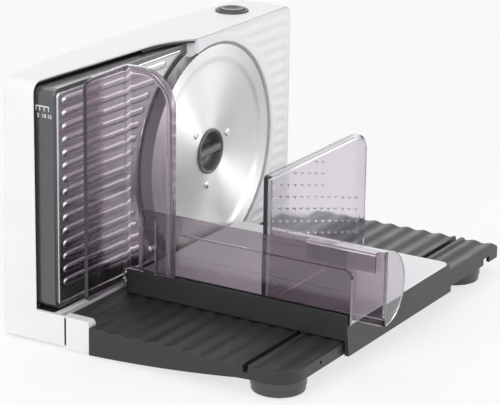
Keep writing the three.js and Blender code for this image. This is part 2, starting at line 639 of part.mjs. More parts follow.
function gearPlate() {
  const edge = POST_RADIUS + 4;
  const [xs, zs] = [PLATE_POSTS.map(([x]) => x), PLATE_POSTS.map(([, z]) => z)];
  const outline = roundedRect(
    Math.min(...xs) - edge, MOTOR_TOP + SEAT_GAP, Math.max(...xs, SHELF_RIGHT) + edge, Math.max(...zs) + edge, 5,
  );
  const shelf = box(SHELF_LEFT, SHELF_RIGHT, GEAR_Y - MOTOR_RADIUS, PLATE_Y + PLATE_THICKNESS / 2,
    MOTOR_TOP + SEAT_GAP, MOTOR_TOP + SEAT_GAP + PLATE_THICKNESS);
  const tab = box(WORM_X - 10, WORM_X + 10, GEAR_Y - 8, PLATE_Y + PLATE_THICKNESS / 2, TAB_Z, TAB_Z + PLATE_THICKNESS);
  let plate = join(extrude(outline, 'y', PLATE_Y, PLATE_Y + PLATE_THICKNESS, 3), shelf, tab);
  plate = cut(
    plate, rod('z', SHAFT_RADIUS + FIT_GAP, MOTOR_TOP - 2, TAB_Z + 2 * PLATE_THICKNESS, WORM_X, GEAR_Y, 12),
    onBladeAxis(SPINDLE_END_RADIUS + SEAT_GAP, PLATE_Y - CUT_OVER, PLATE_Y + 2 * PLATE_THICKNESS, 14),
  );
  for (const [x, z] of PLATE_POSTS) {
    plate = plate.subtract(rod('y', SHANK_HOLE, PLATE_Y - CUT_OVER, PLATE_Y + 2 * PLATE_THICKNESS, x, z, 6));
  }
  for (const side of [-1, 1]) {
    const x = WORM_X + side * MOTOR_SCREW_REACH;
    plate = plate.subtract(rod('z', SHANK_HOLE, MOTOR_TOP - 1, MOTOR_TOP + 2 * PLATE_THICKNESS, x, GEAR_Y, 6));
  }
  return plate;
}

place('gear_plate', gearPlate(), DARK_STEEL);
PLATE_POSTS.forEach(([x, z], i) => {
  const seat = PLATE_Y + PLATE_THICKNESS + SEAT_GAP;
  place(`gear_plate_screw_${i + 1}`, screw('y', seat, -1, x, z, PLATE_THICKNESS + 8), DARK_STEEL);
});
place('blade_spindle', turned('y', [
  [0, GRIP_END + 1], [SPINDLE_RADIUS, GRIP_END + 1],
  [SPINDLE_RADIUS, HUB_END + FIT_GAP], [SPINDLE_RADIUS + 3, HUB_END + FIT_GAP],
  [SPINDLE_RADIUS + 3, PLATE_Y - SEAT_GAP], [SPINDLE_END_RADIUS, PLATE_Y - SEAT_GAP],
  [SPINDLE_END_RADIUS, PLATE_Y + PLATE_THICKNESS + 6], [0, PLATE_Y + PLATE_THICKNESS + 6],
], 0, BLADE_AXIS_Z, 14), STEEL);
place('spindle_nut', cut(
  rod('y', 7.5, PLATE_Y + PLATE_THICKNESS + SEAT_GAP, PLATE_Y + PLATE_THICKNESS + 4.5, 0, BLADE_AXIS_Z, 6),
  onBladeAxis(SPINDLE_END_RADIUS + SEAT_GAP, PLATE_Y, PLATE_Y + 4 * PLATE_THICKNESS, 14),
), STEEL);

// Motor: can, shaft with its worm, fan and the screws that hold the can under the shelf
const SHAFT_LOW = MOTOR_TOP - MOTOR_LENGTH - FAN_HEIGHT - 3;
const motorCan = cut(
  turned('z', [
    [SHAFT_RADIUS + FIT_GAP, MOTOR_TOP - MOTOR_LENGTH], [MOTOR_RADIUS - 3, MOTOR_TOP - MOTOR_LENGTH],
    [MOTOR_RADIUS, MOTOR_TOP - MOTOR_LENGTH + 3], [MOTOR_RADIUS, MOTOR_TOP], [SHAFT_RADIUS + FIT_GAP, MOTOR_TOP],
    [SHAFT_RADIUS + FIT_GAP, MOTOR_TOP - MOTOR_LENGTH],
  ], WORM_X, GEAR_Y, 16),
  ...[-1, 1].map((side) => (
    rod('z', SHANK_HOLE, MOTOR_TOP - 7, MOTOR_TOP + 1, WORM_X + side * MOTOR_SCREW_REACH, GEAR_Y, 6))),
);
place('motor_can', motorCan, DARK_STEEL);
['left', 'right'].forEach((name, i) => {
  const x = WORM_X + (2 * i - 1) * MOTOR_SCREW_REACH;
  const seat = MOTOR_TOP + 2 * SEAT_GAP + PLATE_THICKNESS;
  place(`motor_screw_${name}`, screw('z', seat, -1, x, GEAR_Y, PLATE_THICKNESS + 5), DARK_STEEL);
});

// Height of a tooth across one pitch, from 0 at its root to 1 at its tip
function toothHeight(phase) {
  const away = Math.abs(phase - Math.floor(phase) - 0.5);
  return Math.min(Math.max((0.26 - away) / 0.15, 0), 1);
}

function wormRadius(angle, z) {
  const phase = (z - BLADE_AXIS_Z) / WORM_PITCH - (angle - Math.PI) / (2 * Math.PI) + 0.5;
  return WORM_RADIUS - TOOTH_DEDENDUM + (TOOTH_ADDENDUM + TOOTH_DEDENDUM - FIT_GAP) * toothHeight(phase);
}

const worm = helical('z', wormRadius, BLADE_AXIS_Z - WORM_LENGTH / 2, BLADE_AXIS_Z + WORM_LENGTH / 2,
  WORM_X, GEAR_Y, 8, 24);
place('motor_shaft', worm.add(
  rod('z', SHAFT_RADIUS, SHAFT_LOW, TAB_Z + PLATE_THICKNESS + 3, WORM_X, GEAR_Y, 12)), STEEL);

function coolingFan() {
  const low = SHAFT_LOW + 1;
  let fan = rod('z', SHAFT_RADIUS + 4, low, low + FAN_HEIGHT, WORM_X, GEAR_Y, 12);
  fan = fan.add(rod('z', FAN_RADIUS, low + FAN_HEIGHT - 1.2, low + FAN_HEIGHT, WORM_X, GEAR_Y, 14));
  for (let i = 0; i < FAN_BLADES; i += 1) {
    const vane = new THREE.BoxGeometry(FAN_RADIUS - SHAFT_RADIUS - 2, 1.4, FAN_HEIGHT - 0.6);
    vane.translate((FAN_RADIUS + SHAFT_RADIUS) / 2, 0, 0);
    vane.rotateZ(2 * Math.PI * i / FAN_BLADES);
    vane.translate(WORM_X, GEAR_Y, low + FAN_HEIGHT / 2 - 0.3);
    fan = fan.add(solid(vane));
  }
  return fan.subtract(rod('z', SHAFT_RADIUS + SEAT_GAP, 0, low + 2 * FAN_HEIGHT, WORM_X, GEAR_Y, 12));
}
place('cooling_fan', coolingFan(), NYLON);

// Blade, its grip, rivets and drive gear, all turning on the spindle
const RIVET_PLACES = Array.from({ length: RIVETS }, (_, i) => {
  const angle = RIVET_TURN + 2 * Math.PI * i / RIVETS;
  return [RIVET_CIRCLE * Math.cos(angle), BLADE_AXIS_Z + RIVET_CIRCLE * Math.sin(angle)];
});
const rivetHoles = (from, to) => RIVET_PLACES.map(([x, z]) => rod('y', RIVET_RADIUS + FIT_GAP, from, to, x, z, 6));

function bladeDisc() {
  const rim = BLADE_RADIUS - BLADE_RIM_WIDTH;
  const bore = GRIP_CUP_RADIUS + FIT_GAP;
  const back = BLADE_FACE_Y + BLADE_THICKNESS;
  const disc = turned('y', [
    [bore, BLADE_FACE_Y], [rim - 3, BLADE_FACE_Y], [rim, BLADE_EDGE_Y + 0.3], [BLADE_RADIUS, BLADE_EDGE_Y],
    [rim - 1, BLADE_EDGE_Y + 0.3 + BLADE_THICKNESS], [rim - 4, back],
    [bore, back], [bore, BLADE_FACE_Y],
  ], 0, BLADE_AXIS_Z, 38);
  return cut(disc, ...rivetHoles(0, RECESS_DEPTH));
}
place('blade', bladeDisc(), STEEL);

// A round grip sunk into the blade: a cup with a finger bar across it and a shank into the drive gear's hub
function bladeGrip() {
  const seat = BLADE_FACE_Y - SEAT_GAP;
  const front = seat - GRIP_LIP;
  const floor = CUP_BACK - 2;
  const cup = turned('y', [
    [0, GRIP_END], [GRIP_SHANK_RADIUS, GRIP_END], [GRIP_SHANK_RADIUS, CUP_BACK], [GRIP_CUP_RADIUS, CUP_BACK],
    [GRIP_CUP_RADIUS, seat], [GRIP_RADIUS, seat], [GRIP_RADIUS, front + 0.8], [GRIP_RADIUS - 0.8, front],
    [GRIP_CUP_RADIUS, front], [GRIP_CUP_RADIUS - 2, seat + 1], [GRIP_CUP_RADIUS - 4, floor - 0.8],
    [GRIP_CUP_RADIUS - 6, floor], [0, floor],
  ], 0, BLADE_AXIS_Z, 18);
  const bar = new THREE.BoxGeometry(2 * GRIP_CUP_RADIUS - 2, floor - front, GRIP_BAR_WIDTH);
  bar.translate(0, (floor + front) / 2 + 0.5, 0);
  bar.rotateY(-GRIP_TURN);
  bar.translate(0, 0, BLADE_AXIS_Z);
  return cup.add(solid(bar).intersect(onBladeAxis(GRIP_CUP_RADIUS - 0.5, 0, CUP_BACK, 18)));
}
place('blade_knob', bladeGrip(), DARK_PLASTIC);
RIVET_PLACES.forEach(([x, z], i) => {
  const shank = BLADE_THICKNESS + FIT_GAP + FLANGE_THICKNESS;
  const rivet = screw('y', BLADE_FACE_Y - SEAT_GAP, 1, x, z, shank, RIVET_RADIUS, RIVET_HEAD_RADIUS, RIVET_HEAD);
  place(`blade_rivet_${i + 1}`, rivet, STEEL);
});

// Gear with slightly skewed teeth that follow the worm's thread
function gearRim() {
  const shape = new THREE.Shape();
  const root = GEAR_PITCH_RADIUS - TOOTH_DEDENDUM;
  const tip = GEAR_PITCH_RADIUS + TOOTH_ADDENDUM;
  const step = 2 * Math.PI / GEAR_TEETH;
  for (let i = 0; i < GEAR_TEETH; i += 1) {
    for (const [share, radius] of [[0.24, root], [0.39, tip], [0.61, tip], [0.76, root]]) {
      const angle = (i + share) * step;
      const [u, v] = [radius * Math.cos(angle), radius * Math.sin(angle)];
      if (i === 0 && share < 0.3) shape.moveTo(u, v);
      else shape.lineTo(u, v);
    }
  }
  const rim = new THREE.ExtrudeGeometry(shape, { depth: GEAR_WIDTH, bevelEnabled: false });
  rim.applyMatrix4(ALONG.y).translate(0, GEAR_WIDTH / 2, 0);
  const skew = WORM_PITCH / (2 * Math.PI * WORM_RADIUS) / GEAR_PITCH_RADIUS;
  const places = rim.attributes.position;
  const point = new THREE.Vector3();
  for (let i = 0; i < places.count; i += 1) {
    point.fromBufferAttribute(places, i);
    point.applyAxisAngle(AY, skew * point.y);
    places.setXYZ(i, point.x, point.y, point.z);
  }
  rim.translate(0, GEAR_Y, BLADE_AXIS_Z);
  return solid(rim);
}

const driveGear = cut(
  join(
    gearRim(), onBladeAxis(HUB_RADIUS, FLANGE_Y + 1, HUB_END, 16),
    onBladeAxis(FLANGE_RADIUS, FLANGE_Y, FLANGE_Y + FLANGE_THICKNESS, 20),
  ),
  onBladeAxis(GRIP_CUP_RADIUS + FIT_GAP, 0, CUP_BACK + FIT_GAP, 18),
  onBladeAxis(GRIP_SHANK_RADIUS + FIT_GAP, 0, GRIP_END + FIT_GAP, 14),
  onBladeAxis(SPINDLE_RADIUS + FIT_GAP, 0, HUB_END + CUT_OVER, 14),
  ...rivetHoles(0, FLANGE_Y + FLANGE_THICKNESS + CUT_OVER),
);
place('drive_gear', driveGear, NYLON);

// Fence: a plastic tray with guide tubes and a cam socket, faced with a ribbed sheet
const FENCE_PINS = [['upper', FENCE_PIN_SPREAD], ['lower', -FENCE_PIN_SPREAD]];
const SOCKET_RADIUS = CAM_RADIUS + SLIDE_GAP;
const FOLLOWER_Y = FENCE_BACK - FOLLOWER_RADIUS - 1.4;
const CAM_FRONT = FENCE_BODY_Y + FENCE_WALL + SLICE_MAX - SLICE_AT_REST + 2 * SLIDE_GAP;

function fenceBody() {
  const tray = cut(
    fenceBlock(0, FENCE_BODY_Y, FENCE_BACK),
    fenceBlock(-FENCE_WALL, FENCE_BODY_Y + FENCE_WALL, FENCE_BACK + CUT_OVER, 24),
  );
  const from = FENCE_BODY_Y + FENCE_WALL / 2;
  const tubes = FENCE_PINS.map(([, z]) => (
    rod('y', FENCE_PIN_RADIUS + 3, from, FENCE_BACK, FENCE_PIN_X, BLADE_AXIS_Z + z, 12)));
  const body = join(tray, ...tubes, rod('y', SOCKET_RADIUS + 3, from, FENCE_BACK, CAM_X, BLADE_AXIS_Z, 16));
  const inner = FENCE_BODY_Y + FENCE_WALL;
  return cut(
    body, rod('y', SOCKET_RADIUS, inner, FENCE_BACK + CUT_OVER, CAM_X, BLADE_AXIS_Z, 16),
    ...FENCE_PINS.map(([, z]) => (
      rod('y', FENCE_PIN_RADIUS + FIT_GAP, inner, FENCE_BACK + CUT_OVER, FENCE_PIN_X, BLADE_AXIS_Z + z, 12))),
    rod('z', FOLLOWER_RADIUS + SEAT_GAP, BLADE_AXIS_Z, BLADE_AXIS_Z + SOCKET_RADIUS + 5, CAM_X, FOLLOWER_Y, 8),
  );
}
place('fence_body', fenceBody(), DARK_PLASTIC);

function fencePlate() {
  const face = FENCE_Y + FENCE_RIB_HEIGHT;
  const sheet = fenceBlock(-FENCE_SHEET_INSET, face, face + FENCE_SHEET);
  const low = LEDGE_TOP + FENCE_LIFT + FENCE_RIB_PITCH;
  const ribs = [];
  for (let z = low; z < HOUSING_TOP - FENCE_DROP - FENCE_RIB_WIDTH; z += FENCE_RIB_PITCH) {
    const outline = new THREE.Shape();
    outline.moveTo(face + FENCE_SHEET / 2, z - FENCE_RIB_WIDTH / 2);
    outline.lineTo(face, z - FENCE_RIB_WIDTH / 2);
    outline.quadraticCurveTo(face - 2 * FENCE_RIB_HEIGHT, z, face, z + FENCE_RIB_WIDTH / 2);
    outline.lineTo(face + FENCE_SHEET / 2, z + FENCE_RIB_WIDTH / 2);
    ribs.push(extrude(outline, 'x', -HOUSING_LEFT + FENCE_SIDE + FENCE_CORNER + 2, POCKET_EDGE - 10, 3));
  }
  const clear = onBladeAxis(FENCE_ARC + FENCE_RIM + 4, 0, NEST_FLOOR);
  const rim = onBladeAxis(FENCE_ARC + FENCE_RIM, 0, NEST_FLOOR);
  return sheet.subtract(rim).add(cut(join(...ribs), clear));
}
place('fence_plate', fencePlate(), STEEL);
place('cam_follower', rod('z', FOLLOWER_RADIUS, BLADE_AXIS_Z + CAM_RADIUS - CAM_GROOVE + SLIDE_GAP,
  BLADE_AXIS_Z + SOCKET_RADIUS + 3, CAM_X, FOLLOWER_Y, 8), STEEL);
for (const [name, z] of FENCE_PINS) {
  const pin = rod('y', FENCE_PIN_RADIUS, CAM_FRONT, NEST_FLOOR + WALL, FENCE_PIN_X, BLADE_AXIS_Z + z, 12);
  place(`fence_pin_${name}`, pin, STEEL);
}

// Barrel cam: one groove climbs the barrel, so a turn of the dial draws the follower and the fence along it
function camRadius(angle, y) {
  const groove = -Math.PI / 2 - 2 * Math.PI * (y - FOLLOWER_Y) / CAM_LEAD;
  const away = Math.abs(Math.atan2(Math.sin(angle - groove), Math.cos(angle - groove)));
  const half = 1.25;
  return CAM_RADIUS - CAM_GROOVE * Math.min(Math.max((half + 0.25 - away) / 0.25, 0), 1);
}

function thicknessCam() {
  const back = NEST_FLOOR - SLIDE_GAP;
  const barrel = helical('y', camRadius, CAM_FRONT, back, CAM_X, BLADE_AXIS_Z, 14, 9);
  const collar = NEST_FLOOR + WALL + SLIDE_GAP;
  return join(
    barrel, rod('y', CAM_SHAFT_RADIUS, back - 1, DIAL_PAD_Y + DIAL_HEIGHT / 2, CAM_X, BLADE_AXIS_Z, 12),
    rod('y', CAM_SHAFT_RADIUS + 3, collar, collar + 3, CAM_X, BLADE_AXIS_Z, 12),
  );
}
place('thickness_cam', thicknessCam(), NYLON);

function thicknessKnob() {
  const outline = new THREE.Shape();
  const steps = DIAL_FLUTES * 3;
  for (let i = 0; i < steps; i += 1) {
    const angle = 2 * Math.PI * i / steps;
    const radius = DIAL_RADIUS + 0.7 * Math.cos(DIAL_FLUTES * angle);
    const [u, v] = [CAM_X + radius * Math.cos(angle), BLADE_AXIS_Z + radius * Math.sin(angle)];
    if (i === 0) outline.moveTo(u, v);
    else outline.lineTo(u, v);
  }
  const face = DIAL_PAD_Y + SLIDE_GAP;
  const skirt = rod('y', DIAL_RADIUS + 2, face, face + 2.5, CAM_X, BLADE_AXIS_Z, 20);
  const mark = box(CAM_X - 1, CAM_X + 1, face, face + DIAL_HEIGHT + 0.8, BLADE_AXIS_Z + 6, BLADE_AXIS_Z + DIAL_RADIUS);
  return cut(
    join(extrude(outline, 'y', face, face + DIAL_HEIGHT), skirt, mark),
    rod('y', CAM_SHAFT_RADIUS + SEAT_GAP, face - 1, face + DIAL_HEIGHT / 2 + 1, CAM_X, BLADE_AXIS_Z, 12),
  );
}
place('thickness_knob', thicknessKnob(), DARK_PLASTIC);

// Power button: a cup with a ring on the housing's top, the button in it, its spring and its switch
const bezelTop = HOUSING_TOP + SEAT_GAP + BEZEL_RISE;
const cupRadius = BUTTON_RADIUS + BEZEL_WIDTH - 1;
const cupBore = cupRadius - CUP_WALL;
const cupFloor = HOUSING_TOP - CUP_DEPTH;
const flangeLow = HOUSING_TOP - 7;
const switchTop = cupFloor - SWITCH_DROP;
const switchLow = switchTop - SWITCH_HEIGHT;
const SWITCH_HALF = 10;
const STEM_RADIUS = 3.2;

const bezel = join(
  turned('z', [
    [BUTTON_RADIUS + 0.4, bezelTop], [BUTTON_RADIUS + BEZEL_WIDTH, bezelTop],
    [BUTTON_RADIUS + BEZEL_WIDTH, HOUSING_TOP + SEAT_GAP], [cupRadius, HOUSING_TOP + SEAT_GAP],
    [cupRadius, cupFloor - CUP_FLOOR], [STEM_RADIUS + 0.8, cupFloor - CUP_FLOOR], [STEM_RADIUS + 0.8, cupFloor],
    [cupBore, cupFloor], [cupBore, HOUSING_TOP - 2], [BUTTON_RADIUS + 0.4, HOUSING_TOP - 2],
    [BUTTON_RADIUS + 0.4, bezelTop],
  ], BUTTON_X, BUTTON_Y, 16),
  ...[-1, 1].map((side) => {
    const inner = BUTTON_X + side * (SWITCH_HALF + FIT_GAP);
    const outer = inner + side * 2;
    return box(Math.min(inner, outer), Math.max(inner, outer), BUTTON_Y - 4, BUTTON_Y + 4, switchLow, cupFloor - 1);
  }),
);
place('button_bezel', bezel, DARK_PLASTIC);
place('power_button', turned('z', [
  [0, switchTop + BUTTON_TRAVEL + SLIDE_GAP], [STEM_RADIUS, switchTop + BUTTON_TRAVEL + SLIDE_GAP],
  [STEM_RADIUS, flangeLow], [cupBore - SLIDE_GAP, flangeLow], [cupBore - SLIDE_GAP, HOUSING_TOP - 3],
  [BUTTON_RADIUS, HOUSING_TOP - 3], [BUTTON_RADIUS, HOUSING_TOP + BUTTON_RISE - 0.8],
  [BUTTON_RADIUS - 1, HOUSING_TOP + BUTTON_RISE], [BUTTON_RADIUS - 3, HOUSING_TOP + BUTTON_RISE - 0.3],
  [BUTTON_RADIUS / 2, HOUSING_TOP + BUTTON_RISE - 1.3], [0, HOUSING_TOP + BUTTON_RISE - 1.6],
], BUTTON_X, BUTTON_Y, 16), BLACK_PLASTIC);
place('micro_switch', box(BUTTON_X - SWITCH_HALF, BUTTON_X + SWITCH_HALF, BUTTON_Y - 4, BUTTON_Y + 4,
  switchLow, switchTop), BLACK_PLASTIC);

class SpringCurve extends THREE.Curve {
  getPoint(t) {
    const angle = 2 * Math.PI * SPRING_TURNS * t;
    const radius = (STEM_RADIUS + cupBore) / 2;
    const [low, high] = [cupFloor + SPRING_WIRE + SEAT_GAP, flangeLow - SPRING_WIRE - SEAT_GAP];
    return new THREE.Vector3(BUTTON_X + radius * Math.cos(angle), BUTTON_Y + radius * Math.sin(angle),
      low + (high - low) * t);
  }
}
const wire = new THREE.Shape();
wire.absarc(0, 0, SPRING_WIRE, 0, 2 * Math.PI);
place('button_spring', solid(new THREE.ExtrudeGeometry(wire, {
  steps: SPRING_TURNS * 8, curveSegments: 2, extrudePath: new SpringCurve(),
})), STEEL);

// Table: a waved sheet with a guide slot, a skirt that sweeps up to the front and bosses for the feet
function tableOutline(inset, from, to) {
  const rear = -CHEEK_REACH - FIT_GAP - inset;
  const front = -TABLE_DEPTH + inset;
  const corner = FOOT_RADIUS - inset;
  const main = roundedRect(
    -TABLE_LEFT + inset, front, TABLE_RIGHT - inset, rear, [corner, TABLE_CORNER - inset, 2, 2]);
  const neckLeft = -HOUSING_LEFT + CHEEK_WIDTH + FIT_GAP + inset;
  const neckRight = HOUSING_RIGHT - CHEEK_WIDTH - FIT_GAP - inset;
  const neck = box(neckLeft, neckRight, rear - 3, -FIT_GAP - inset, from, to);
  const tongue = box(neckLeft, CHUTE_RIGHT - FIT_GAP - inset, rear - 3, LEDGE_REBATE - FIT_GAP - inset, from, to);
  return join(extrude(main, 'z', from, to, 5), neck, tongue);
}

function tableSheet() {
  const top = new THREE.Shape();
  const [rear, front] = [LEDGE_REBATE, -TABLE_DEPTH - CUT_OVER];
  const under = TABLE_TOP - WAVE_HEIGHT - TABLE_SHEET;
  const steps = Math.round((rear - front) / WAVE_PITCH * 4);
  top.moveTo(rear, under);
  for (let i = 0; i <= steps; i += 1) {
    const y = rear + (front - rear) * i / steps;
    const nearSlot = Math.abs(y - SLOT_Y) < SLOT_WIDTH + 2;
    const wave = nearSlot ? 0 : (1 - Math.cos(2 * Math.PI * y / WAVE_PITCH)) / 2;
    top.lineTo(y, TABLE_TOP - WAVE_HEIGHT * wave);
  }
  top.lineTo(front, under);
  const channel = SLOT_WIDTH / 2 + TABLE_SHEET;
  const sheet = extrude(top, 'x', -TABLE_LEFT - CUT_OVER, TABLE_RIGHT + CUT_OVER);
  return sheet.add(box(-TABLE_LEFT, TABLE_RIGHT, SLOT_Y - channel, SLOT_Y + channel,
    TABLE_TOP - SLOT_DEPTH - TABLE_SHEET, TABLE_TOP - WAVE_HEIGHT));
}

function table() {
  const lipBottom = TABLE_TOP - LIP_HEIGHT;
  const [lipFront, lipBack] = [-TABLE_DEPTH - CUT_OVER, -TABLE_DEPTH + SKIRT + CUT_OVER];
  const under = TABLE_TOP - WAVE_HEIGHT - 1;
  const whole = tableOutline(0, 0, TABLE_TOP + CUT_OVER);
  const ring = tableOutline(0, HOUSING_BOTTOM, under).subtract(tableOutline(SKIRT, 0, TABLE_TOP));
  const sweep = new THREE.Shape();
  sweep.moveTo(0, -CUT_OVER);
  sweep.lineTo(0, HOUSING_BOTTOM);
  sweep.lineTo(-CHEEK_REACH, HOUSING_BOTTOM);
  sweep.quadraticCurveTo(-TABLE_DEPTH / 2, HOUSING_BOTTOM + 2, FOOT_Y + FOOT_RADIUS, lipBottom - 1);
  sweep.lineTo(FOOT_Y, lipBottom);
  sweep.lineTo(-TABLE_DEPTH - CUT_OVER, lipBottom);
  sweep.lineTo(-TABLE_DEPTH - CUT_OVER, -CUT_OVER);
  const skirt = cut(
    ring, extrude(sweep, 'x', -TABLE_LEFT - CUT_OVER, FOOT_LEFT_X, 7),
    box(FOOT_LEFT_X - 1, TABLE_RIGHT + CUT_OVER, -TABLE_DEPTH - CUT_OVER, CUT_OVER, 0, lipBottom),
  );
  let piece = tableSheet().intersect(whole).add(skirt);
  for (const x of [FOOT_LEFT_X, FOOT_RIGHT_X]) {
    const boss = rod('z', FOOT_RADIUS - SKIRT + 1, FOOT_HEIGHT + SEAT_GAP, under, x, FOOT_Y, 16);
    piece = cut(piece.add(boss), rod('z', 6 + FIT_GAP, 0, FOOT_HEIGHT + 5.5, x, FOOT_Y, 12));
  }
  for (const x of LUG_X) {
    const around = LUG_HALF + SLIDE_GAP;
    piece = piece.subtract(box(x - around, x + around, -LUG_REACH - SLIDE_GAP, CUT_OVER, 0, LUG_HIGH + SEAT_GAP));
    const boss = rod('z', POST_RADIUS, LUG_HIGH + SEAT_GAP, under, x, LUG_SCREW_Y, 8);
    piece = cut(piece.add(boss), rod('z', SHANK_HOLE, 0, LUG_HIGH + 4, x, LUG_SCREW_Y, 6));
  }
  return cut(
    piece, box(-TABLE_LEFT - CUT_OVER, TABLE_RIGHT + CUT_OVER, SLOT_Y - SLOT_WIDTH / 2, SLOT_Y + SLOT_WIDTH / 2,
      TABLE_TOP - SLOT_DEPTH, TABLE_TOP + CUT_OVER),
    rod('y', LIP_HOLE_RADIUS, lipFront, lipBack, LIP_HOLE_X, TABLE_TOP - LIP_HEIGHT / 2, 6),
    box(LIP_NOTCH_X - LIP_NOTCH_HALF, LIP_NOTCH_X + LIP_NOTCH_HALF, lipFront, lipBack, 0, under - 2),
    box(-TABLE_LEFT, CHUTE_RIGHT, -FIT_GAP, LEDGE_REBATE, 0, REBATE_LOW + SEAT_GAP),
  );
}
place('table', table(), BLACK_PLASTIC);
LUG_X.forEach((x, i) => {
  const piece = screw('z', LUG_HIGH - LUG_SHEET - SEAT_GAP, 1, x, LUG_SCREW_Y, LUG_SHEET + 3.5);
  place(`table_screw_${['left', 'right'][i]}`, piece, DARK_STEEL);
});
[FOOT_LEFT_X, FOOT_RIGHT_X].forEach((x, i) => {
  const side = ['left', 'right'][i];
  const foot = cut(
    turned('z', [
      [0, 1], [FOOT_RADIUS - 2, 1], [FOOT_RADIUS - 1, 2.5], [FOOT_RADIUS - 1, FOOT_HEIGHT], [6, FOOT_HEIGHT],
      [6, FOOT_HEIGHT + 5], [0, FOOT_HEIGHT + 5],
    ], x, FOOT_Y, 18),
    rod('z', FOOT_RADIUS - 5 + FIT_GAP, 0, PAD_HEIGHT, x, FOOT_Y),
  );
  place(`front_foot_${side}`, foot, GREY_PLASTIC);
  place(`front_pad_${side}`, rod('z', FOOT_RADIUS - 5, 0, PAD_HEIGHT - SEAT_GAP, x, FOOT_Y), RUBBER);
});

// Carriage: a tray open below, a side rail that holds the wall, a raked apron and a tongue in the table's slot
function carriageBase() {
  const top = BED_TOP - BED_SHEET - SEAT_GAP;
  const [rear, front] = [-CARRIAGE_REAR, -CARRIAGE_FRONT];
  const railRight = CARRIAGE_LEFT + RAIL_WIDTH;
  const tray = cut(
    box(CARRIAGE_LEFT, CARRIAGE_RIGHT, front + APRON_RAKE, rear, CARRIAGE_BOTTOM, top),
    box(railRight, CARRIAGE_RIGHT - CARRIAGE_SHEET, front + APRON_RAKE - CUT_OVER, rear - CARRIAGE_SHEET,
      CARRIAGE_BOTTOM - CUT_OVER, top - CARRIAGE_SHEET),
  );
  const rail = box(CARRIAGE_LEFT, railRight, front + APRON_RAKE, rear, CARRIAGE_BOTTOM, RAIL_TOP);
  const inner = -TABLE_DEPTH - 2 * SLIDE_GAP;
  const apron = extrude(polygon([
    [inner, APRON_BOTTOM], [inner, top], [front + APRON_RAKE, top], [front, APRON_BOTTOM],
  ]), 'x', CARRIAGE_LEFT, CARRIAGE_RIGHT + 1.5);
  const bridge = box(CARRIAGE_LEFT, CARRIAGE_RIGHT, front + APRON_RAKE, inner + 3, top - CARRIAGE_SHEET, top);
  const tongueHalf = SLOT_WIDTH / 2 - SLIDE_GAP;
  const tongue = box(CARRIAGE_LEFT + 2, CARRIAGE_RIGHT, SLOT_Y - tongueHalf, SLOT_Y + tongueHalf,
    TABLE_TOP - SLOT_DEPTH + SLIDE_GAP, top - 1);
  const wallSlot = box(WALL_X - WALL_SHEET - SEAT_GAP, WALL_X + SEAT_GAP, front - CUT_OVER, -WALL_REAR + FIT_GAP,
    RAIL_TOP - 8 - SEAT_GAP, RAIL_TOP + CUT_OVER);
  return cut(join(tray, rail, apron, bridge, tongue), wallSlot);
}
place('carriage_base', carriageBase(), BLACK_PLASTIC);
place('carriage_bed', extrude(roundedRect(
  CARRIAGE_LEFT + RAIL_WIDTH + FIT_GAP, -CARRIAGE_FRONT + APRON_RAKE + 0.2, CARRIAGE_RIGHT - 0.3, -CARRIAGE_REAR - 0.3,
  [0, BED_CORNER, BED_CORNER, 0]), 'z', BED_TOP - BED_SHEET, BED_TOP), WHITE_PLASTIC);

function carriageWall() {
  const [rear, front] = [-WALL_REAR, -CARRIAGE_FRONT + 1];
  const panel = roundedRect(front, RAIL_TOP - 8, rear, WALL_STEP, [0, 0, 0, 6]);
  const rail = roundedRect(front + 6, WALL_STEP - 6, rear, WALL_TOP, [0, 0, 3, 3]);
  const wall = extrude(panel, 'x', WALL_X - WALL_SHEET, WALL_X).add(extrude(rail, 'x', WALL_X - RAIL_SHEET, WALL_X));
  const outer = WALL_X - WALL_SHEET;
  return cut(
    wall, rod('x', SHANK_HOLE, outer - CUT_OVER, WALL_X - 1, GUARD_SCREW_Y, GUARD_SCREW_Z, 6),
    box(outer - CUT_OVER, outer + WALL_GROOVE, front - CUT_OVER, rear + CUT_OVER, WALL_GROOVE_Z - WALL_GROOVE / 2,
      WALL_GROOVE_Z + WALL_GROOVE / 2),
  );
}
place('carriage_wall', carriageWall(), SMOKE_CLEAR);

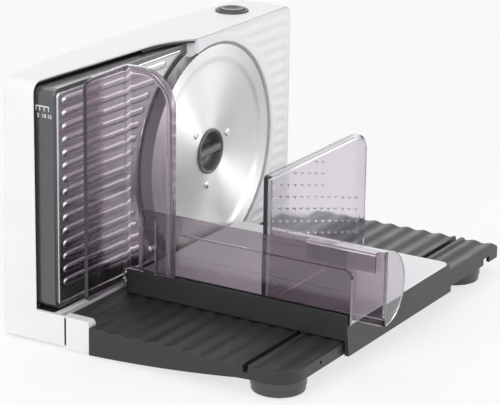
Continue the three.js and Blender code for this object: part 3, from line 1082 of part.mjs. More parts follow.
// Guard: bent sheet, one leg beside the wall and one across in front of the fence
function handGuard() {
  const bend = new THREE.Shape();
  const [right, left] = [GUARD_X, GUARD_X - GUARD_SHEET];
  const [rear, face] = [-GUARD_REAR, -GUARD_REAR - GUARD_SHEET];
  bend.moveTo(-GUARD_LEFT, rear);
  bend.lineTo(-GUARD_LEFT, face);
  bend.absarc(left - GUARD_BEND + GUARD_SHEET, face - GUARD_BEND + GUARD_SHEET, GUARD_BEND - GUARD_SHEET,
    Math.PI / 2, 0, true);
  bend.lineTo(left, -GUARD_FRONT);
  bend.lineTo(right, -GUARD_FRONT);
  bend.absarc(right - GUARD_BEND, rear - GUARD_BEND, GUARD_BEND, 0, Math.PI / 2, false);
  const fromFront = roundedRect(-GUARD_LEFT, GUARD_BOTTOM, right + CUT_OVER, GUARD_TOP, [3, 0, 0, GUARD_LEFT_CORNER]);
  const fromSide = roundedRect(-GUARD_FRONT, GUARD_BOTTOM, 0, GUARD_TOP, [0, 0, 0, GUARD_CORNER]);
  const sheet = extrude(bend, 'z', GUARD_BOTTOM - CUT_OVER, GUARD_TOP + CUT_OVER, 4)
    .intersect(extrude(fromFront, 'y', -GUARD_FRONT - CUT_OVER, CUT_OVER, 4))
    .intersect(extrude(fromSide, 'x', -GUARD_LEFT - CUT_OVER, right + CUT_OVER, 8));
  const ribs = [-1, 1].map((side) => {
    const y = GUARD_SCREW_Y + side * GUARD_RIB_SPREAD;
    return box(left - GUARD_RIB_HEIGHT, left + CUT_OVER, y - GUARD_RIB_SHEET / 2, y + GUARD_RIB_SHEET / 2,
      GUARD_BOTTOM, GUARD_RIB_TOP);
  });
  return cut(
    join(sheet, ...ribs),
    box(CARRIAGE_LEFT - 2 * GUARD_SHEET, right + 2, -GUARD_FRONT - CUT_OVER, -GUARD_BEND, 0, RAIL_TOP + FIT_GAP),
    box(CARRIAGE_LEFT - FIT_GAP, right + 2, -GUARD_FRONT - CUT_OVER, CUT_OVER, 0, RAIL_TOP + FIT_GAP),
    rod('x', SHANK_HOLE, left - CUT_OVER, right + CUT_OVER, GUARD_SCREW_Y, GUARD_SCREW_Z, 6),
  );
}
place('hand_guard', handGuard(), SMOKE_CLEAR);
place('guard_screw', screw('x', GUARD_X - GUARD_SHEET - SEAT_GAP, 1, GUARD_SCREW_Y, GUARD_SCREW_Z, GUARD_SHEET + 2),
  DARK_STEEL);

// Pusher: a spiked plate, a cheek along the wall with a hook over its rail, and a rounded end web
function pusher() {
  const [left, front] = [PUSHER_X, -PUSHER_FRONT];
  const cheekTop = WALL_TOP + SLIDE_GAP + PUSHER_SHEET;
  const cheekRight = left + PUSHER_SHEET;
  const outline = (inset) => roundedRect(
    left + inset, PUSHER_BOTTOM + inset, PUSHER_RIGHT - inset, PUSHER_TOP - inset, [2, 4, PUSHER_CORNER - inset, 3]);
  const face = extrude(outline(0), 'y', PUSHER_Y, PUSHER_Y + PUSHER_SHEET, 4);
  const rim = extrude(outline(0), 'y', PUSHER_Y - PUSHER_RIM, PUSHER_Y + 1, 4)
    .subtract(extrude(outline(PUSHER_SHEET), 'y', PUSHER_Y - 2 * PUSHER_RIM, PUSHER_Y + 2, 4));
  const cheek = extrude(roundedRect(front, PUSHER_BOTTOM, PUSHER_Y + 1, cheekTop, [3, 0, 0, 2]), 'x', left, cheekRight);
  const hookOuter = WALL_X - RAIL_SHEET - SLIDE_GAP;
  const hookLeft = hookOuter - 1.6;
  const bridge = box(hookLeft, cheekRight, -HOOK_FRONT, -HOOK_REAR, WALL_TOP + SLIDE_GAP, cheekTop);
  const tongue = box(hookLeft, hookOuter, -HOOK_FRONT, -HOOK_REAR, WALL_TOP - HOOK_DROP, cheekTop);
  const webOutline = roundedRect(left, PUSHER_BOTTOM, left + WEB_WIDTH, cheekTop, [0, 3, WEB_WIDTH - PUSHER_SHEET, 0]);
  const web = extrude(webOutline, 'y', front, front + PUSHER_SHEET, 6);
  const overRail = box(left - CUT_OVER, CARRIAGE_LEFT + RAIL_WIDTH + SLIDE_GAP, front - CUT_OVER, 0,
    0, RAIL_TOP + SLIDE_GAP);
  return cut(join(face, rim, cheek, bridge, tongue, web, ...spikes()), overRail);
}

// Rows of three-sided spikes on the pusher's face, towards the blade, with its upper right quarter left plain
function spikes() {
  const root = PUSHER_Y + PUSHER_SHEET;
  const list = [];
  const margin = 1.2 * SPIKE_PITCH;
  const midX = (PUSHER_X + PUSHER_RIGHT) / 2;
  const midZ = (PUSHER_BOTTOM + PUSHER_TOP) / 2;
  for (let z = PUSHER_BOTTOM + margin; z < PUSHER_TOP - margin; z += SPIKE_PITCH) {
    for (let x = PUSHER_X + 2 * margin; x < PUSHER_RIGHT - margin; x += SPIKE_PITCH) {
      if (x > midX && z > midZ) continue;
      const spike = new THREE.ConeGeometry(SPIKE_HALF, SPIKE_HEIGHT + 0.4, 3);
      spike.translate(0, root + SPIKE_HEIGHT / 2 - 0.2, 0);
      list.push(stand(spike, 'y', x, z));
    }
  }
  return list;
}
place('pusher', pusher(), SMOKE_CLEAR);

// Footprint's centre becomes the origin
const dialEnd = DIAL_PAD_Y + SLIDE_GAP + DIAL_HEIGHT + 0.8;
slicer.position.set((TABLE_LEFT - TABLE_RIGHT) / 2, (PUSHER_FRONT - dialEnd) / 2, 0);
slicer.name = 'food_slicer';

export default slicer;
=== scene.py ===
"""Looks of the food slicer: materials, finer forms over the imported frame, studio and camera."""
import json
import math

import bmesh
import bpy
from mathutils import Matrix, Vector


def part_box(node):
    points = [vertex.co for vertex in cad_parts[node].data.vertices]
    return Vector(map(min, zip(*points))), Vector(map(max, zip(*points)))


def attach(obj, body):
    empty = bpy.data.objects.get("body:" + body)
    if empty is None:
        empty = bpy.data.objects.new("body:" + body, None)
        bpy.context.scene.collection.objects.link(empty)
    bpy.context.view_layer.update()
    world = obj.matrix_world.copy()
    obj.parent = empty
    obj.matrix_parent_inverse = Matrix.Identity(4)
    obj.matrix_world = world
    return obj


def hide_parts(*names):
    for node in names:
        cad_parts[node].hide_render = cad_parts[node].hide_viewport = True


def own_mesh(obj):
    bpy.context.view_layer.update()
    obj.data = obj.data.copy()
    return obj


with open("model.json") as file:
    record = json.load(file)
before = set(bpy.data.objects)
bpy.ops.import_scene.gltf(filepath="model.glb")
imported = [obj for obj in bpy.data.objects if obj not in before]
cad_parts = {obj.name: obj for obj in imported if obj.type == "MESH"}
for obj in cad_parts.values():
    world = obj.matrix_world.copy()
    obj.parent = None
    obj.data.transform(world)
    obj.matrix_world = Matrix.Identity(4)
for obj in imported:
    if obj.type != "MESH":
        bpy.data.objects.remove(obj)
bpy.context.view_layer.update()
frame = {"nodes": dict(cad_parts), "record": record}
NODES = frame["nodes"]
BODY_OF = {n: b for b, names in frame["record"]["behaviour"]["bodies"].items() for n in names}
SLOT_OF = {s["node"]: s["material_slot"] for s in frame["record"]["subparts"]}
MM = 0.001
AXES = {"x": (1, 2), "y": (0, 2), "z": (0, 1)}

# Places taken from the frame
EDGE_SETBACK = 2.0
blade_low, blade_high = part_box("blade")
BLADE_X = (blade_low.x + blade_high.x) / 2
FACE_Y = blade_low.y - EDGE_SETBACK * MM
AXIS_Z = (blade_low.z + blade_high.z) / 2 / MM


def at(x, y, z):
    """A point in metres from millimetres off the blade's axis, the housing's face and the worktop."""
    return Vector((BLADE_X + x * MM, FACE_Y + y * MM, z * MM))


def local(point):
    """The millimetres that at() needs for a point in metres."""
    return [(value - zero) / MM for value, zero in zip(point, (BLADE_X, FACE_Y, 0))]


# Camera, fitted to the photograph's view
AZIMUTH = math.radians(-59.084)
ELEVATION = math.radians(17.788)
ROLL = math.radians(0.836)
FROM_BLADE = Vector((-1.473727, -0.915654, 0.515398))
FOCAL_PIXELS = 2317.8
IMAGE_WIDTH = 500


def make_camera():
    data = bpy.data.cameras.new("camera")
    data.sensor_fit = "HORIZONTAL"
    data.sensor_width = 36
    data.lens = FOCAL_PIXELS / IMAGE_WIDTH * data.sensor_width
    data.clip_end = 50
    back = Vector((math.sin(AZIMUTH) * math.cos(ELEVATION), -math.cos(AZIMUTH) * math.cos(ELEVATION),
                   math.sin(ELEVATION)))
    flat_right = (-back).cross(Vector((0, 0, 1))).normalized()
    flat_up = flat_right.cross(-back)
    right = flat_right * math.cos(ROLL) + flat_up * math.sin(ROLL)
    up = flat_up * math.cos(ROLL) - flat_right * math.sin(ROLL)
    turn = Matrix((right, up, back)).transposed().to_4x4()
    camera = bpy.data.objects.new("camera", data)
    camera.matrix_world = Matrix.Translation(at(0, 0, AXIS_Z) + FROM_BLADE) @ turn
    bpy.context.scene.collection.objects.link(camera)
    bpy.context.scene.camera = camera


# Materials
NOISE_LOW, NOISE_HIGH = 0.3, 0.7


class Nodes:
    """A node tree with short calls to add and link nodes."""

    def __init__(self, tree):
        self.tree = tree

    def add(self, kind, **values):
        """A new node; a value sets the input of its name, or else the node's setting of that name."""
        node = self.tree.nodes.new(kind)
        for key, value in values.items():
            if key in node.inputs:
                node.inputs[key].default_value = value
            else:
                setattr(node, key, value)
        return node

    def link(self, source, target):
        self.tree.links.new(source, target)

    def seen_rays(self):
        """1 for rays that the camera, a reflection or a clear piece sends, else 0."""
        path = self.add("ShaderNodeLightPath")
        first = self.add("ShaderNodeMath", operation="MAXIMUM")
        second = self.add("ShaderNodeMath", operation="MAXIMUM")
        self.link(path.outputs["Is Glossy Ray"], first.inputs[0])
        self.link(path.outputs["Is Transmission Ray"], first.inputs[1])
        self.link(path.outputs["Is Camera Ray"], second.inputs[0])
        self.link(first.outputs[0], second.inputs[1])
        return second.outputs[0]

    def blend(self, share, first, second, end):
        """Ends the tree in a blend of two shaders."""
        mix = self.add("ShaderNodeMixShader")
        self.link(share, mix.inputs["Fac"])
        self.link(first, mix.inputs[1])
        self.link(second, mix.inputs[2])
        self.link(mix.outputs["Shader"], self.tree.nodes[end].inputs["Surface"])


class Shader(Nodes):
    """A material with one main shader and short calls for what varies over its surface."""

    def __init__(self, name, colour, rough, metal=0.0, **sockets):
        self.material = bpy.data.materials.new(name)
        self.material.use_nodes = True
        super().__init__(self.material.node_tree)
        self.main = self.tree.nodes["Principled BSDF"]
        self.main.inputs["Base Color"].default_value = (*colour, 1)
        self.main.inputs["Roughness"].default_value = rough
        self.main.inputs["Metallic"].default_value = metal
        for socket, value in sockets.items():
            self.main.inputs[socket.replace("_", " ")].default_value = value
        self.colour = colour
        self.rough = rough

    def coords(self, scale=(1, 1, 1)):
        place = self.add("ShaderNodeTexCoord")
        mapping = self.add("ShaderNodeMapping", Scale=scale)
        self.link(place.outputs["Object"], mapping.inputs["Vector"])
        return mapping.outputs["Vector"]

    def noise(self, vector, scale, detail, rough=0.55):
        node = self.add("ShaderNodeTexNoise", Scale=scale, Detail=detail, Roughness=rough)
        self.link(vector, node.inputs["Vector"])
        return node.outputs["Fac"]

    def tint(self, value, spread):
        """Colour that wanders a little to both sides of the base colour."""
        node = self.add("ShaderNodeValToRGB")
        ends = [tuple(min(c * (1 + s * spread), 1) for c in self.colour) for s in (-1, 1)]
        for element, place, colour in zip(node.color_ramp.elements, (NOISE_LOW, NOISE_HIGH), ends):
            element.position = place
            element.color = (*colour, 1)
        self.link(value, node.inputs["Fac"])
        self.link(node.outputs["Color"], self.main.inputs["Base Color"])

    def roughen(self, value, spread):
        """Roughness that wanders a little to both sides of the base roughness."""
        node = self.add("ShaderNodeMapRange")
        node.inputs["From Min"].default_value = NOISE_LOW
        node.inputs["From Max"].default_value = NOISE_HIGH
        node.inputs["To Min"].default_value = max(self.rough - spread, 0.02)
        node.inputs["To Max"].default_value = self.rough + spread
        self.link(value, node.inputs["Value"])
        self.link(node.outputs["Result"], self.main.inputs["Roughness"])

    def bump(self, value, strength, distance):
        node = self.add("ShaderNodeBump", Strength=strength, Distance=distance)
        self.link(value, node.inputs["Height"])
        self.link(node.outputs["Normal"], self.main.inputs["Normal"])


def moulded(name, colour, rough, grain, depth, spread=0.06, **sockets):
    """Injection-moulded plastic: an eroded grain, slow changes of gloss and a slight drift of colour."""
    shader = Shader(name, colour, rough, **sockets)
    place = shader.coords()
    shader.tint(shader.noise(place, 28, 4), spread)
    shader.roughen(shader.noise(place, 55, 5), 0.05)
    shader.bump(shader.noise(place, grain, 2, 0.6), 0.25, depth)
    return shader.material


def brushed(name, colour, rough, stretch, depth, spread=0.05):
    """Sheet metal with grinding lines along one direction."""
    shader = Shader(name, colour, rough, 1.0)
    lines = shader.noise(shader.coords(stretch), 60, 5, 0.6)
    shader.tint(lines, spread)
    shader.roughen(lines, 0.06)
    shader.bump(lines, 0.12, depth)
    return shader.material


def disc_steel(name, colour, rough):
    """Blade steel: fine rings turned round the axis, read from the blade's own centre."""
    shader = Shader(name, colour, rough, 1.0, Anisotropic=0.85, Anisotropic_Rotation=0.25)
    tangent = shader.add("ShaderNodeTangent", direction_type="RADIAL", axis="Y")
    shader.link(tangent.outputs["Tangent"], shader.main.inputs["Tangent"])
    place = shader.add("ShaderNodeTexCoord")
    flat = shader.add("ShaderNodeVectorMath", operation="MULTIPLY")
    flat.inputs[1].default_value = (1, 0, 1)
    shader.link(place.outputs["Object"], flat.inputs[0])
    length = shader.add("ShaderNodeVectorMath", operation="LENGTH")
    shader.link(flat.outputs["Vector"], length.inputs[0])
    join = shader.add("ShaderNodeCombineXYZ")
    shader.link(length.outputs["Value"], join.inputs["X"])
    rings = shader.noise(join.outputs["Vector"], 1400, 3, 0.7)
    shader.tint(shader.noise(place.outputs["Object"], 40, 4), 0.03)
    shader.roughen(rings, 0.06)
    shader.bump(rings, 0.06, 0.00004)
    return shader.material


def smoke(name, colour, coat_ior, ior=1.26):
    """Clear tinted plastic sheet with faint flow marks in its gloss."""
    shader = Shader(name, colour, 0.07, Transmission_Weight=1.0, IOR=ior, Coat_Weight=0.8, Coat_IOR=coat_ior,
                    Coat_Roughness=0.1)
    place = shader.coords((1, 1, 0.4))
    shader.roughen(shader.noise(place, 30, 4), 0.025)
    shader.tint(shader.noise(place, 12, 3), 0.02)
    return shader.material


MATERIALS = {
    "white_plastic": moulded("white_plastic", (0.83, 0.83, 0.85), 0.46, 900, 0.00003, 0.015,
                             Specular_IOR_Level=0.25),
    "dark_plastic": moulded("dark_plastic", (0.05, 0.051, 0.055), 0.42, 1100, 0.00004),
    "black_plastic": moulded("black_plastic", (0.024, 0.024, 0.026), 0.44, 1000, 0.00004),
    "grey_plastic": moulded("grey_plastic", (0.06, 0.06, 0.065), 0.34, 1100, 0.00004),
    "knob_plastic": moulded("knob_plastic", (0.12, 0.12, 0.13), 0.3, 1100, 0.00003),
    "fence_plastic": moulded("fence_plastic", (0.04, 0.04, 0.044), 0.34, 1100, 0.00003, Coat_Weight=1.0,
                             Coat_IOR=1.6, Coat_Roughness=0.2),
    "smoke_clear": smoke("smoke_clear", (0.7, 0.668, 0.715), 1.4),
    "smoke_deep": smoke("smoke_deep", (0.43, 0.37, 0.415), 1.7),
    "smoke_guard": smoke("smoke_guard", (0.56, 0.495, 0.545), 1.7),
    "smoke_bead": smoke("smoke_bead", (0.78, 0.74, 0.78), 1.4, 1.49),
    # Painted light: an opaque lilac-grey that stands in for the lit front end of the clear carriage wall.
    "painted_end_light": moulded("painted_end_light", (0.4, 0.36, 0.4), 0.35, 600, 0.00003, 0.04),
    "steel": brushed("steel", (0.7, 0.7, 0.71), 0.22, (0.15, 1, 6), 0.00003),
    "plate_steel": brushed("plate_steel", (0.62, 0.62, 0.635), 0.2, (0.1, 1, 4), 0.00002),
    "dark_steel": brushed("dark_steel", (0.3, 0.3, 0.31), 0.35, (1, 1, 1), 0.00004, 0.12),
    "nylon": moulded("nylon", (0.72, 0.68, 0.58), 0.5, 800, 0.00004, 0.04),
    "rubber": moulded("rubber", (0.02, 0.02, 0.022), 0.75, 700, 0.00008, 0.15),
    "blade_steel": disc_steel("blade_steel", (0.7, 0.695, 0.69), 0.38),
    "mark_paint": moulded("mark_paint", (0.78, 0.78, 0.8), 0.5, 900, 0.00002, 0.03),
}

# Shapes: each gives a bmesh in metres from sizes in millimetres
WELD, CAD_WELD = 3e-6, 1e-6


def put(axis, along, u, v):
    """A point from its place along an axis and its places in the other two, in x, y, z order."""
    point = [0.0, 0.0, 0.0]
    point["xyz".index(axis)] = along
    point[AXES[axis][0]], point[AXES[axis][1]] = u, v
    return at(*point)


def curve_share(x, start, guide, end):
    """How far along a quadratic curve with these ends and this guide point a place lies, from 0 to 1."""
    a, b, c = start - 2 * guide + end, 2 * (guide - start), start - x
    return -2 * c / (b + math.copysign(math.sqrt(b * b - 4 * a * c), b))


def curve_value(t, start, guide, end):
    """A quadratic curve's value at a share of its run."""
    return (1 - t) ** 2 * start + 2 * t * (1 - t) * guide + t * t * end


def corner_points(u, v, radius, start, steps):
    """A quarter turn of points round a centre, from a start in degrees."""
    angles = [math.radians(start + 90 * i / steps) for i in range(steps + 1)]
    return [(u + radius * math.cos(a), v + radius * math.sin(a)) for a in angles]


def rounded(u0, v0, u1, v1, radii):
    """Outline of a rectangle whose corners are rounded: low left, low right, high right, high left."""
    corners = ((u0, v0, 1, 1, 180), (u1, v0, -1, 1, 270), (u1, v1, -1, -1, 0), (u0, v1, 1, -1, 90))
    points = []
    for (u, v, su, sv, start), radius in zip(corners, radii):
        radius = max(radius, 0.02)
        points += corner_points(u + su * radius, v + sv * radius, radius, start, 8)
    return points


def tube(rings, loop=False):
    """A closed skin over rings of points, with a face on each end unless its ends meet."""
    work = bmesh.new()
    rows = [[work.verts.new(point) for point in ring] for ring in rings]
    pairs = list(zip(rows, rows[1:]))
    if loop:
        pairs.append((rows[-1], rows[0]))
    for low, high in pairs:
        for i in range(len(low)):
            j = (i + 1) % len(low)
            work.faces.new((low[i], low[j], high[j], high[i]))
    if not loop:
        work.faces.new(list(reversed(rows[0])))
        work.faces.new(rows[-1])
    return work


def slab(axis, low, high, u0, v0, u1, v1, radii, edge=0.4):
    """A plate with a rounded outline and softened rims."""
    def ring(inset, along):
        outline = rounded(u0 + inset, v0 + inset, u1 - inset, v1 - inset, [r - inset for r in radii])
        return [put(axis, along, u, v) for u, v in outline]
    soft = 0.3 * edge
    return tube([ring(edge, low), ring(soft, low + soft), ring(0, low + edge), ring(0, high - edge),
                 ring(soft, high - soft), ring(edge, high)])


def block(x0, x1, y0, y1, z0, z1):
    return tube([[at(x, y, z) for x, y in ((x0, y0), (x1, y0), (x1, y1), (x0, y1))] for z in (z0, z1)])


def lathe(axis, profile, u, v, steps=64, wave=None):
    """A turned form; profile holds radius and place along the axis, and wave may alter a radius."""
    rings = []
    for radius, along in profile:
        ring = []
        for i in range(steps):
            angle = 2 * math.pi * i / steps
            r = max(wave(radius, along, angle) if wave else radius, 0.001)
            ring.append(put(axis, along, u + r * math.cos(angle), v + r * math.sin(angle)))
        rings.append(ring)
    return tube(rings, loop=profile[0][0] > 0 and profile[-1][0] > 0)


def merged(*works):
    """Several forms in one mesh."""
    whole = bmesh.new()
    for work in works:
        mesh = bpy.data.meshes.new("part")
        work.to_mesh(mesh)
        work.free()
        whole.from_mesh(mesh)
        bpy.data.meshes.remove(mesh)
    return whole


def tidy(work):
    """Welds points that meet and turns all faces outwards."""
    bmesh.ops.remove_doubles(work, verts=work.verts, dist=WELD)
    bmesh.ops.recalc_face_normals(work, faces=work.faces)
    return work


def combine(operation, base, *others):
    """Joins or cuts forms exactly."""
    def stand_in(work):
        mesh = bpy.data.meshes.new("part")
        tidy(work).to_mesh(mesh)
        work.free()
        thing = bpy.data.objects.new("part", mesh)
        bpy.context.scene.collection.objects.link(thing)
        return thing
    things = [stand_in(work) for work in (base, *others)]
    for other in things[1:]:
        step = things[0].modifiers.new("step", "BOOLEAN")
        step.operation = operation
        step.solver = "EXACT"
        step.use_self = True
        step.object = other
    graph = bpy.context.evaluated_depsgraph_get()
    result = bmesh.new()
    result.from_mesh(things[0].evaluated_get(graph).to_mesh())
    for thing in things:
        mesh = thing.data
        bpy.data.objects.remove(thing)
        bpy.data.meshes.remove(mesh)
    return result


def cad_copy(node_name):
    work = bmesh.new()
    work.from_mesh(NODES[node_name].data)
    bmesh.ops.remove_doubles(work, verts=work.verts, dist=CAD_WELD)
    return work


def smooth(mesh, angle):
    for face in mesh.polygons:
        face.use_smooth = True
    mesh.set_sharp_from_angle(angle=math.radians(angle))


def make(work, *nodes, material=None, slot=None, name=None, angle=32, edge=0.0, origin=None, stands=True):
    """A piece that stands for CAD nodes, or rides beside the first of them."""
    piece_name = name or "look_" + nodes[0]
    mesh = bpy.data.meshes.new(piece_name)
    tidy(work)
    if origin is not None:
        bmesh.ops.translate(work, verts=work.verts, vec=-origin)
    work.to_mesh(mesh)
    work.free()
    slot = slot or SLOT_OF[nodes[0]]
    mesh.materials.append(MATERIALS[material or slot])
    smooth(mesh, angle)
    piece = bpy.data.objects.new(piece_name, mesh)
    if origin is not None:
        piece.location = origin
    bpy.context.scene.collection.objects.link(piece)
    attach(piece, BODY_OF[nodes[0]])
    if stands:
        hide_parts(*nodes)
    if edge:
        bevel = piece.modifiers.new("edge", "BEVEL")
        bevel.width = edge * MM
        bevel.segments = 2
        bevel.limit_method = "ANGLE"
        bevel.angle_limit = math.radians(40)
    weigh = piece.modifiers.new("weigh", "WEIGHTED_NORMAL")
    weigh.keep_sharp = True
    return piece


for node_name, node in NODES.items():
    node.data.materials.clear()
    node.data.materials.append(MATERIALS[SLOT_OF[node_name]])
    smooth(node.data, 32)

# Housing
LEFT, RIGHT, LOW, HIGH = -199.5, 115.0, 1.0, 197.0
WALL, LIP = 2.5, 0.8
FOOT_CORNER, TOP_CORNER = 3.0, 9.0
LEDGE, LEDGE_END, LEDGE_RIGHT = 26.0, -47.0, 46.0
POCKET_X, POCKET_GUIDE_X, POCKET_BEND_X = -24.0, -44.0, -74.0
POCKET_BEND_Y, POCKET_LEFT_Y = 18.0, 27.0
RIM_SETBACK = 0.2
BACK_GUIDE_X = -40.0
BACK_LEFT_Y, BACK_GUIDE_Y, BACK_RIGHT_Y = 57.0, 72.0, 47.0
BACK_LEAN = 4.3
CHEEK_WIDTH, CHEEK_FRONT, RIGHT_CHEEK_TOP = 9.5, -19.5, 22.5
LUG_XS, LUG_HALF = (-140, 60), 12
RECESS = 87.0
PANEL_INSET = 1.15
PANEL_START, PANEL_END = math.radians(106), math.radians(-59.5)
PANEL_TURNS, PANEL_ROWS = 330, 38
WAVE_PITCH, WAVE_DEPTH, WAVE_MARGIN, WAVE_FADE = 10, 1.0, 4, 5
# Place of the black strip that paints the shade under the housing's top, over the fence
SHADE_STRIP_START, SHADE_STRIP_RUN, SHADE_STRIP_BACK = -46.9, 21.4, 43
SHADE_STRIP_LOW, SHADE_STRIP_HIGH = 193.3, 194.4


def rim_y(x, z):
    """Depth of the housing's front edge: flush low down, set back where the fence's pocket opens."""
    if z < LEDGE + 0.1:
        return 0.0
    if x > POCKET_X:
        return RIM_SETBACK
    if x > POCKET_BEND_X:
        t = curve_share(x, POCKET_X, POCKET_GUIDE_X, POCKET_BEND_X)
        return max(RIM_SETBACK, curve_value(t, 0, POCKET_BEND_Y, POCKET_BEND_Y))
    share = (POCKET_BEND_X - x) / (POCKET_BEND_X - LEFT)
    return POCKET_BEND_Y + (POCKET_LEFT_Y - POCKET_BEND_Y) * share


def back_y(x, z):
    """Depth of the bulging, leaning back."""
    t = curve_share(x, LEFT, BACK_GUIDE_X, RIGHT)
    return curve_value(t, BACK_LEFT_Y, BACK_GUIDE_Y, BACK_RIGHT_Y) - BACK_LEAN * z / HIGH


def housing_ring(inset, depth):
    """Points round the housing's outline at an inset, each at its own depth."""
    def arc(u, v, radius, start, steps):
        return corner_points(u, v, max(radius - inset, 0.05), start, steps)
    heights = [14.0, LEDGE, LEDGE + 0.2, 40.0, 70.0, 110.0, 150.0]
    across = [LEFT + 12 + i * 5.8 for i in range(51)]
    outline = arc(LEFT + FOOT_CORNER, LOW + FOOT_CORNER, FOOT_CORNER, 180, 4)
    outline += [(x, LOW + inset) for x in across]
    outline += arc(RIGHT - FOOT_CORNER, LOW + FOOT_CORNER, FOOT_CORNER, 270, 4)
    outline += [(RIGHT - inset, z) for z in heights]
    outline += arc(RIGHT - TOP_CORNER, HIGH - TOP_CORNER, TOP_CORNER, 0, 9)
    outline += [(x, HIGH - inset) for x in reversed(across)]
    outline += arc(LEFT + TOP_CORNER, HIGH - TOP_CORNER, TOP_CORNER, 90, 9)
    outline += [(LEFT + inset, z) for z in reversed(heights)]
    return [at(x, depth(x, z), z) for x, z in outline]


def recess_arc(first, last):
    """Points along the blade's recess between two angles in degrees."""
    turns = [math.radians(angle) for angle in range(first, last, -2)]
    return [(RECESS * math.cos(a), AXIS_Z + RECESS * math.sin(a)) for a in turns]


def housing_shell():
    rings = [(LIP, rim_y, 0.1), (0.25, rim_y, 0), (0, rim_y, 0.6), (0, back_y, -2.4), (0.3, back_y, -1.0),
             (1.1, back_y, -0.2), (WALL, back_y, 0), (WALL, rim_y, 3.2), (LIP, rim_y, 3.2)]
    ring = tube([housing_ring(inset, lambda x, z, f=f, d=d: f(x, z) + d) for inset, f, d in rings], loop=True)
    foot = 3
    right = recess_arc(-59, -91) + [(0, foot), (RIGHT - 1, foot), (RIGHT - 1, LEDGE), (LEDGE_RIGHT, LEDGE)]
    left = recess_arc(-90, -123) + [(LEDGE_END, LEDGE), (LEDGE_END, foot), (0, foot)]
    walls = [tube([[at(x, y, z) for x, z in outline] for y in (0.05, WALL)]) for outline in (right, left)]
    low = block(LEFT + 1, LEDGE_END, 0.05, WALL, 2, 14.6)
    ledge = slab("x", LEFT + 1, LEDGE_END, 7.5, 2, 13, LEDGE, [0, 0, 0, 0.6], 0.1)
    cheeks = [slab("x", x, x + CHEEK_WIDTH, CHEEK_FRONT, LOW, 3, high, [3, 0, 0, 4], 0.9)
              for x, high in ((LEFT, LEDGE), (RIGHT - CHEEK_WIDTH, RIGHT_CHEEK_TOP))]
    lugs = [block(x - LUG_HALF, x + LUG_HALF, -16, 1, 10.1, 14.1) for x in LUG_XS]
    return merged(ring, *walls, low, ledge, *cheeks, *lugs)


def panel_reach(angle):
    """Distance from the blade's axis to the face panel's edge."""
    c, s = math.cos(angle), math.sin(angle)
    across = (RIGHT - PANEL_INSET if c > 0 else POCKET_X) / c if abs(c) > 1e-6 else math.inf
    up = ((HIGH - PANEL_INSET if s > 0 else LEDGE + 0.1) - AXIS_Z) / s if abs(s) > 1e-6 else math.inf
    r = min(across, up)
    cu, cv = RIGHT - TOP_CORNER, HIGH - TOP_CORNER - AXIS_Z
    if r * c > cu and r * s > cv:
        along = cu * c + cv * s
        bend = TOP_CORNER - PANEL_INSET
        r = along + math.sqrt(max(along * along - cu * cu - cv * cv + bend ** 2, 0))
    return r


def panel_groove(x, z, r):
    """Depth of the face panel's level waves, fading towards its margins."""
    room = min(x - WAVE_MARGIN, RIGHT - WAVE_MARGIN - x, r - RECESS - WAVE_MARGIN)
    share = min(max(room / WAVE_FADE, 0), 1)
    share = share * share * (3 - 2 * share)
    return WAVE_DEPTH * share * (0.5 - 0.5 * math.cos(2 * math.pi * (z - LEDGE) / WAVE_PITCH))


def face_panel():
    """The waved front by its own mesh, and what lies behind it from the CAD without its pocket flange."""
    corners = [math.atan2(HIGH - PANEL_INSET - AXIS_Z, POCKET_X),
               math.atan2(LEDGE + 0.1 - AXIS_Z, RIGHT - PANEL_INSET)]
    turns = [PANEL_START + (PANEL_END - PANEL_START) * i / PANEL_TURNS for i in range(PANEL_TURNS + 1)]
    rings = []
    for angle in sorted(turns + corners, reverse=True):
        far = max(panel_reach(angle), RECESS + 0.9)
        radii = [RECESS + 0.4 + (far - RECESS - 0.8) * i / PANEL_ROWS for i in range(PANEL_ROWS + 1)]
        section = [(RECESS, WALL), (RECESS, 0.4)]
        for r in radii:
            x, z = r * math.cos(angle), AXIS_Z + r * math.sin(angle)
            section.append((r, panel_groove(x, z, r)))
        section += [(far, 0.4), (far, WALL)]
        rings.append([at(r * math.cos(angle), y, AXIS_Z + r * math.sin(angle)) for r, y in section])
    front = tube(rings)
    rest = cad_copy("face_panel")
    bmesh.ops.bisect_plane(rest, geom=rest.verts[:] + rest.edges[:] + rest.faces[:],
                           plane_co=at(0, WALL + 0.02, 0), plane_no=(0, -1, 0), clear_outer=True)
    bmesh.ops.holes_fill(rest, edges=[e for e in rest.edges if e.is_boundary])
    flange = block(-48, -25.3, 2, 47, 192.8, 195)
    return merged(front, combine("DIFFERENCE", rest, flange))


def painted_pocket_shade():
    """A black strip under the housing's top where the fence's pocket narrows: painted shade for the dark gap
    over the fence.
    """
    rings = []
    for x in [SHADE_STRIP_START + SHADE_STRIP_RUN * i / 30 for i in range(31)]:
        front = rim_y(x, HIGH) + 1.0
        rings.append([at(x, front, SHADE_STRIP_LOW), at(x, SHADE_STRIP_BACK, SHADE_STRIP_LOW),
                      at(x, SHADE_STRIP_BACK, SHADE_STRIP_HIGH), at(x, front, SHADE_STRIP_HIGH)])
    return tube(rings)


def even_back(piece):
    """Shades the faces that lie on the bulging back by the bulge's own slope."""
    mesh = piece.data
    normals = []
    for face in mesh.polygons:
        for corner in face.vertices:
            x, y, z = local(mesh.vertices[corner].co)
            rise = back_y(x + 1, z) - back_y(x - 1, z)
            slope = Vector((-rise / 2, 1, BACK_LEAN / HIGH)).normalized()
            on_back = abs(y - back_y(x, z)) < 0.4 and slope.dot(face.normal) > 0.97
            normals.append(slope if on_back else face.normal)
    piece.modifiers.clear()
    mesh.normals_split_custom_set(normals)


make(housing_shell(), "housing_shell", angle=40)
make(face_panel(), "face_panel", angle=40)
even_back(make(cad_copy("rear_cover"), "rear_cover"))
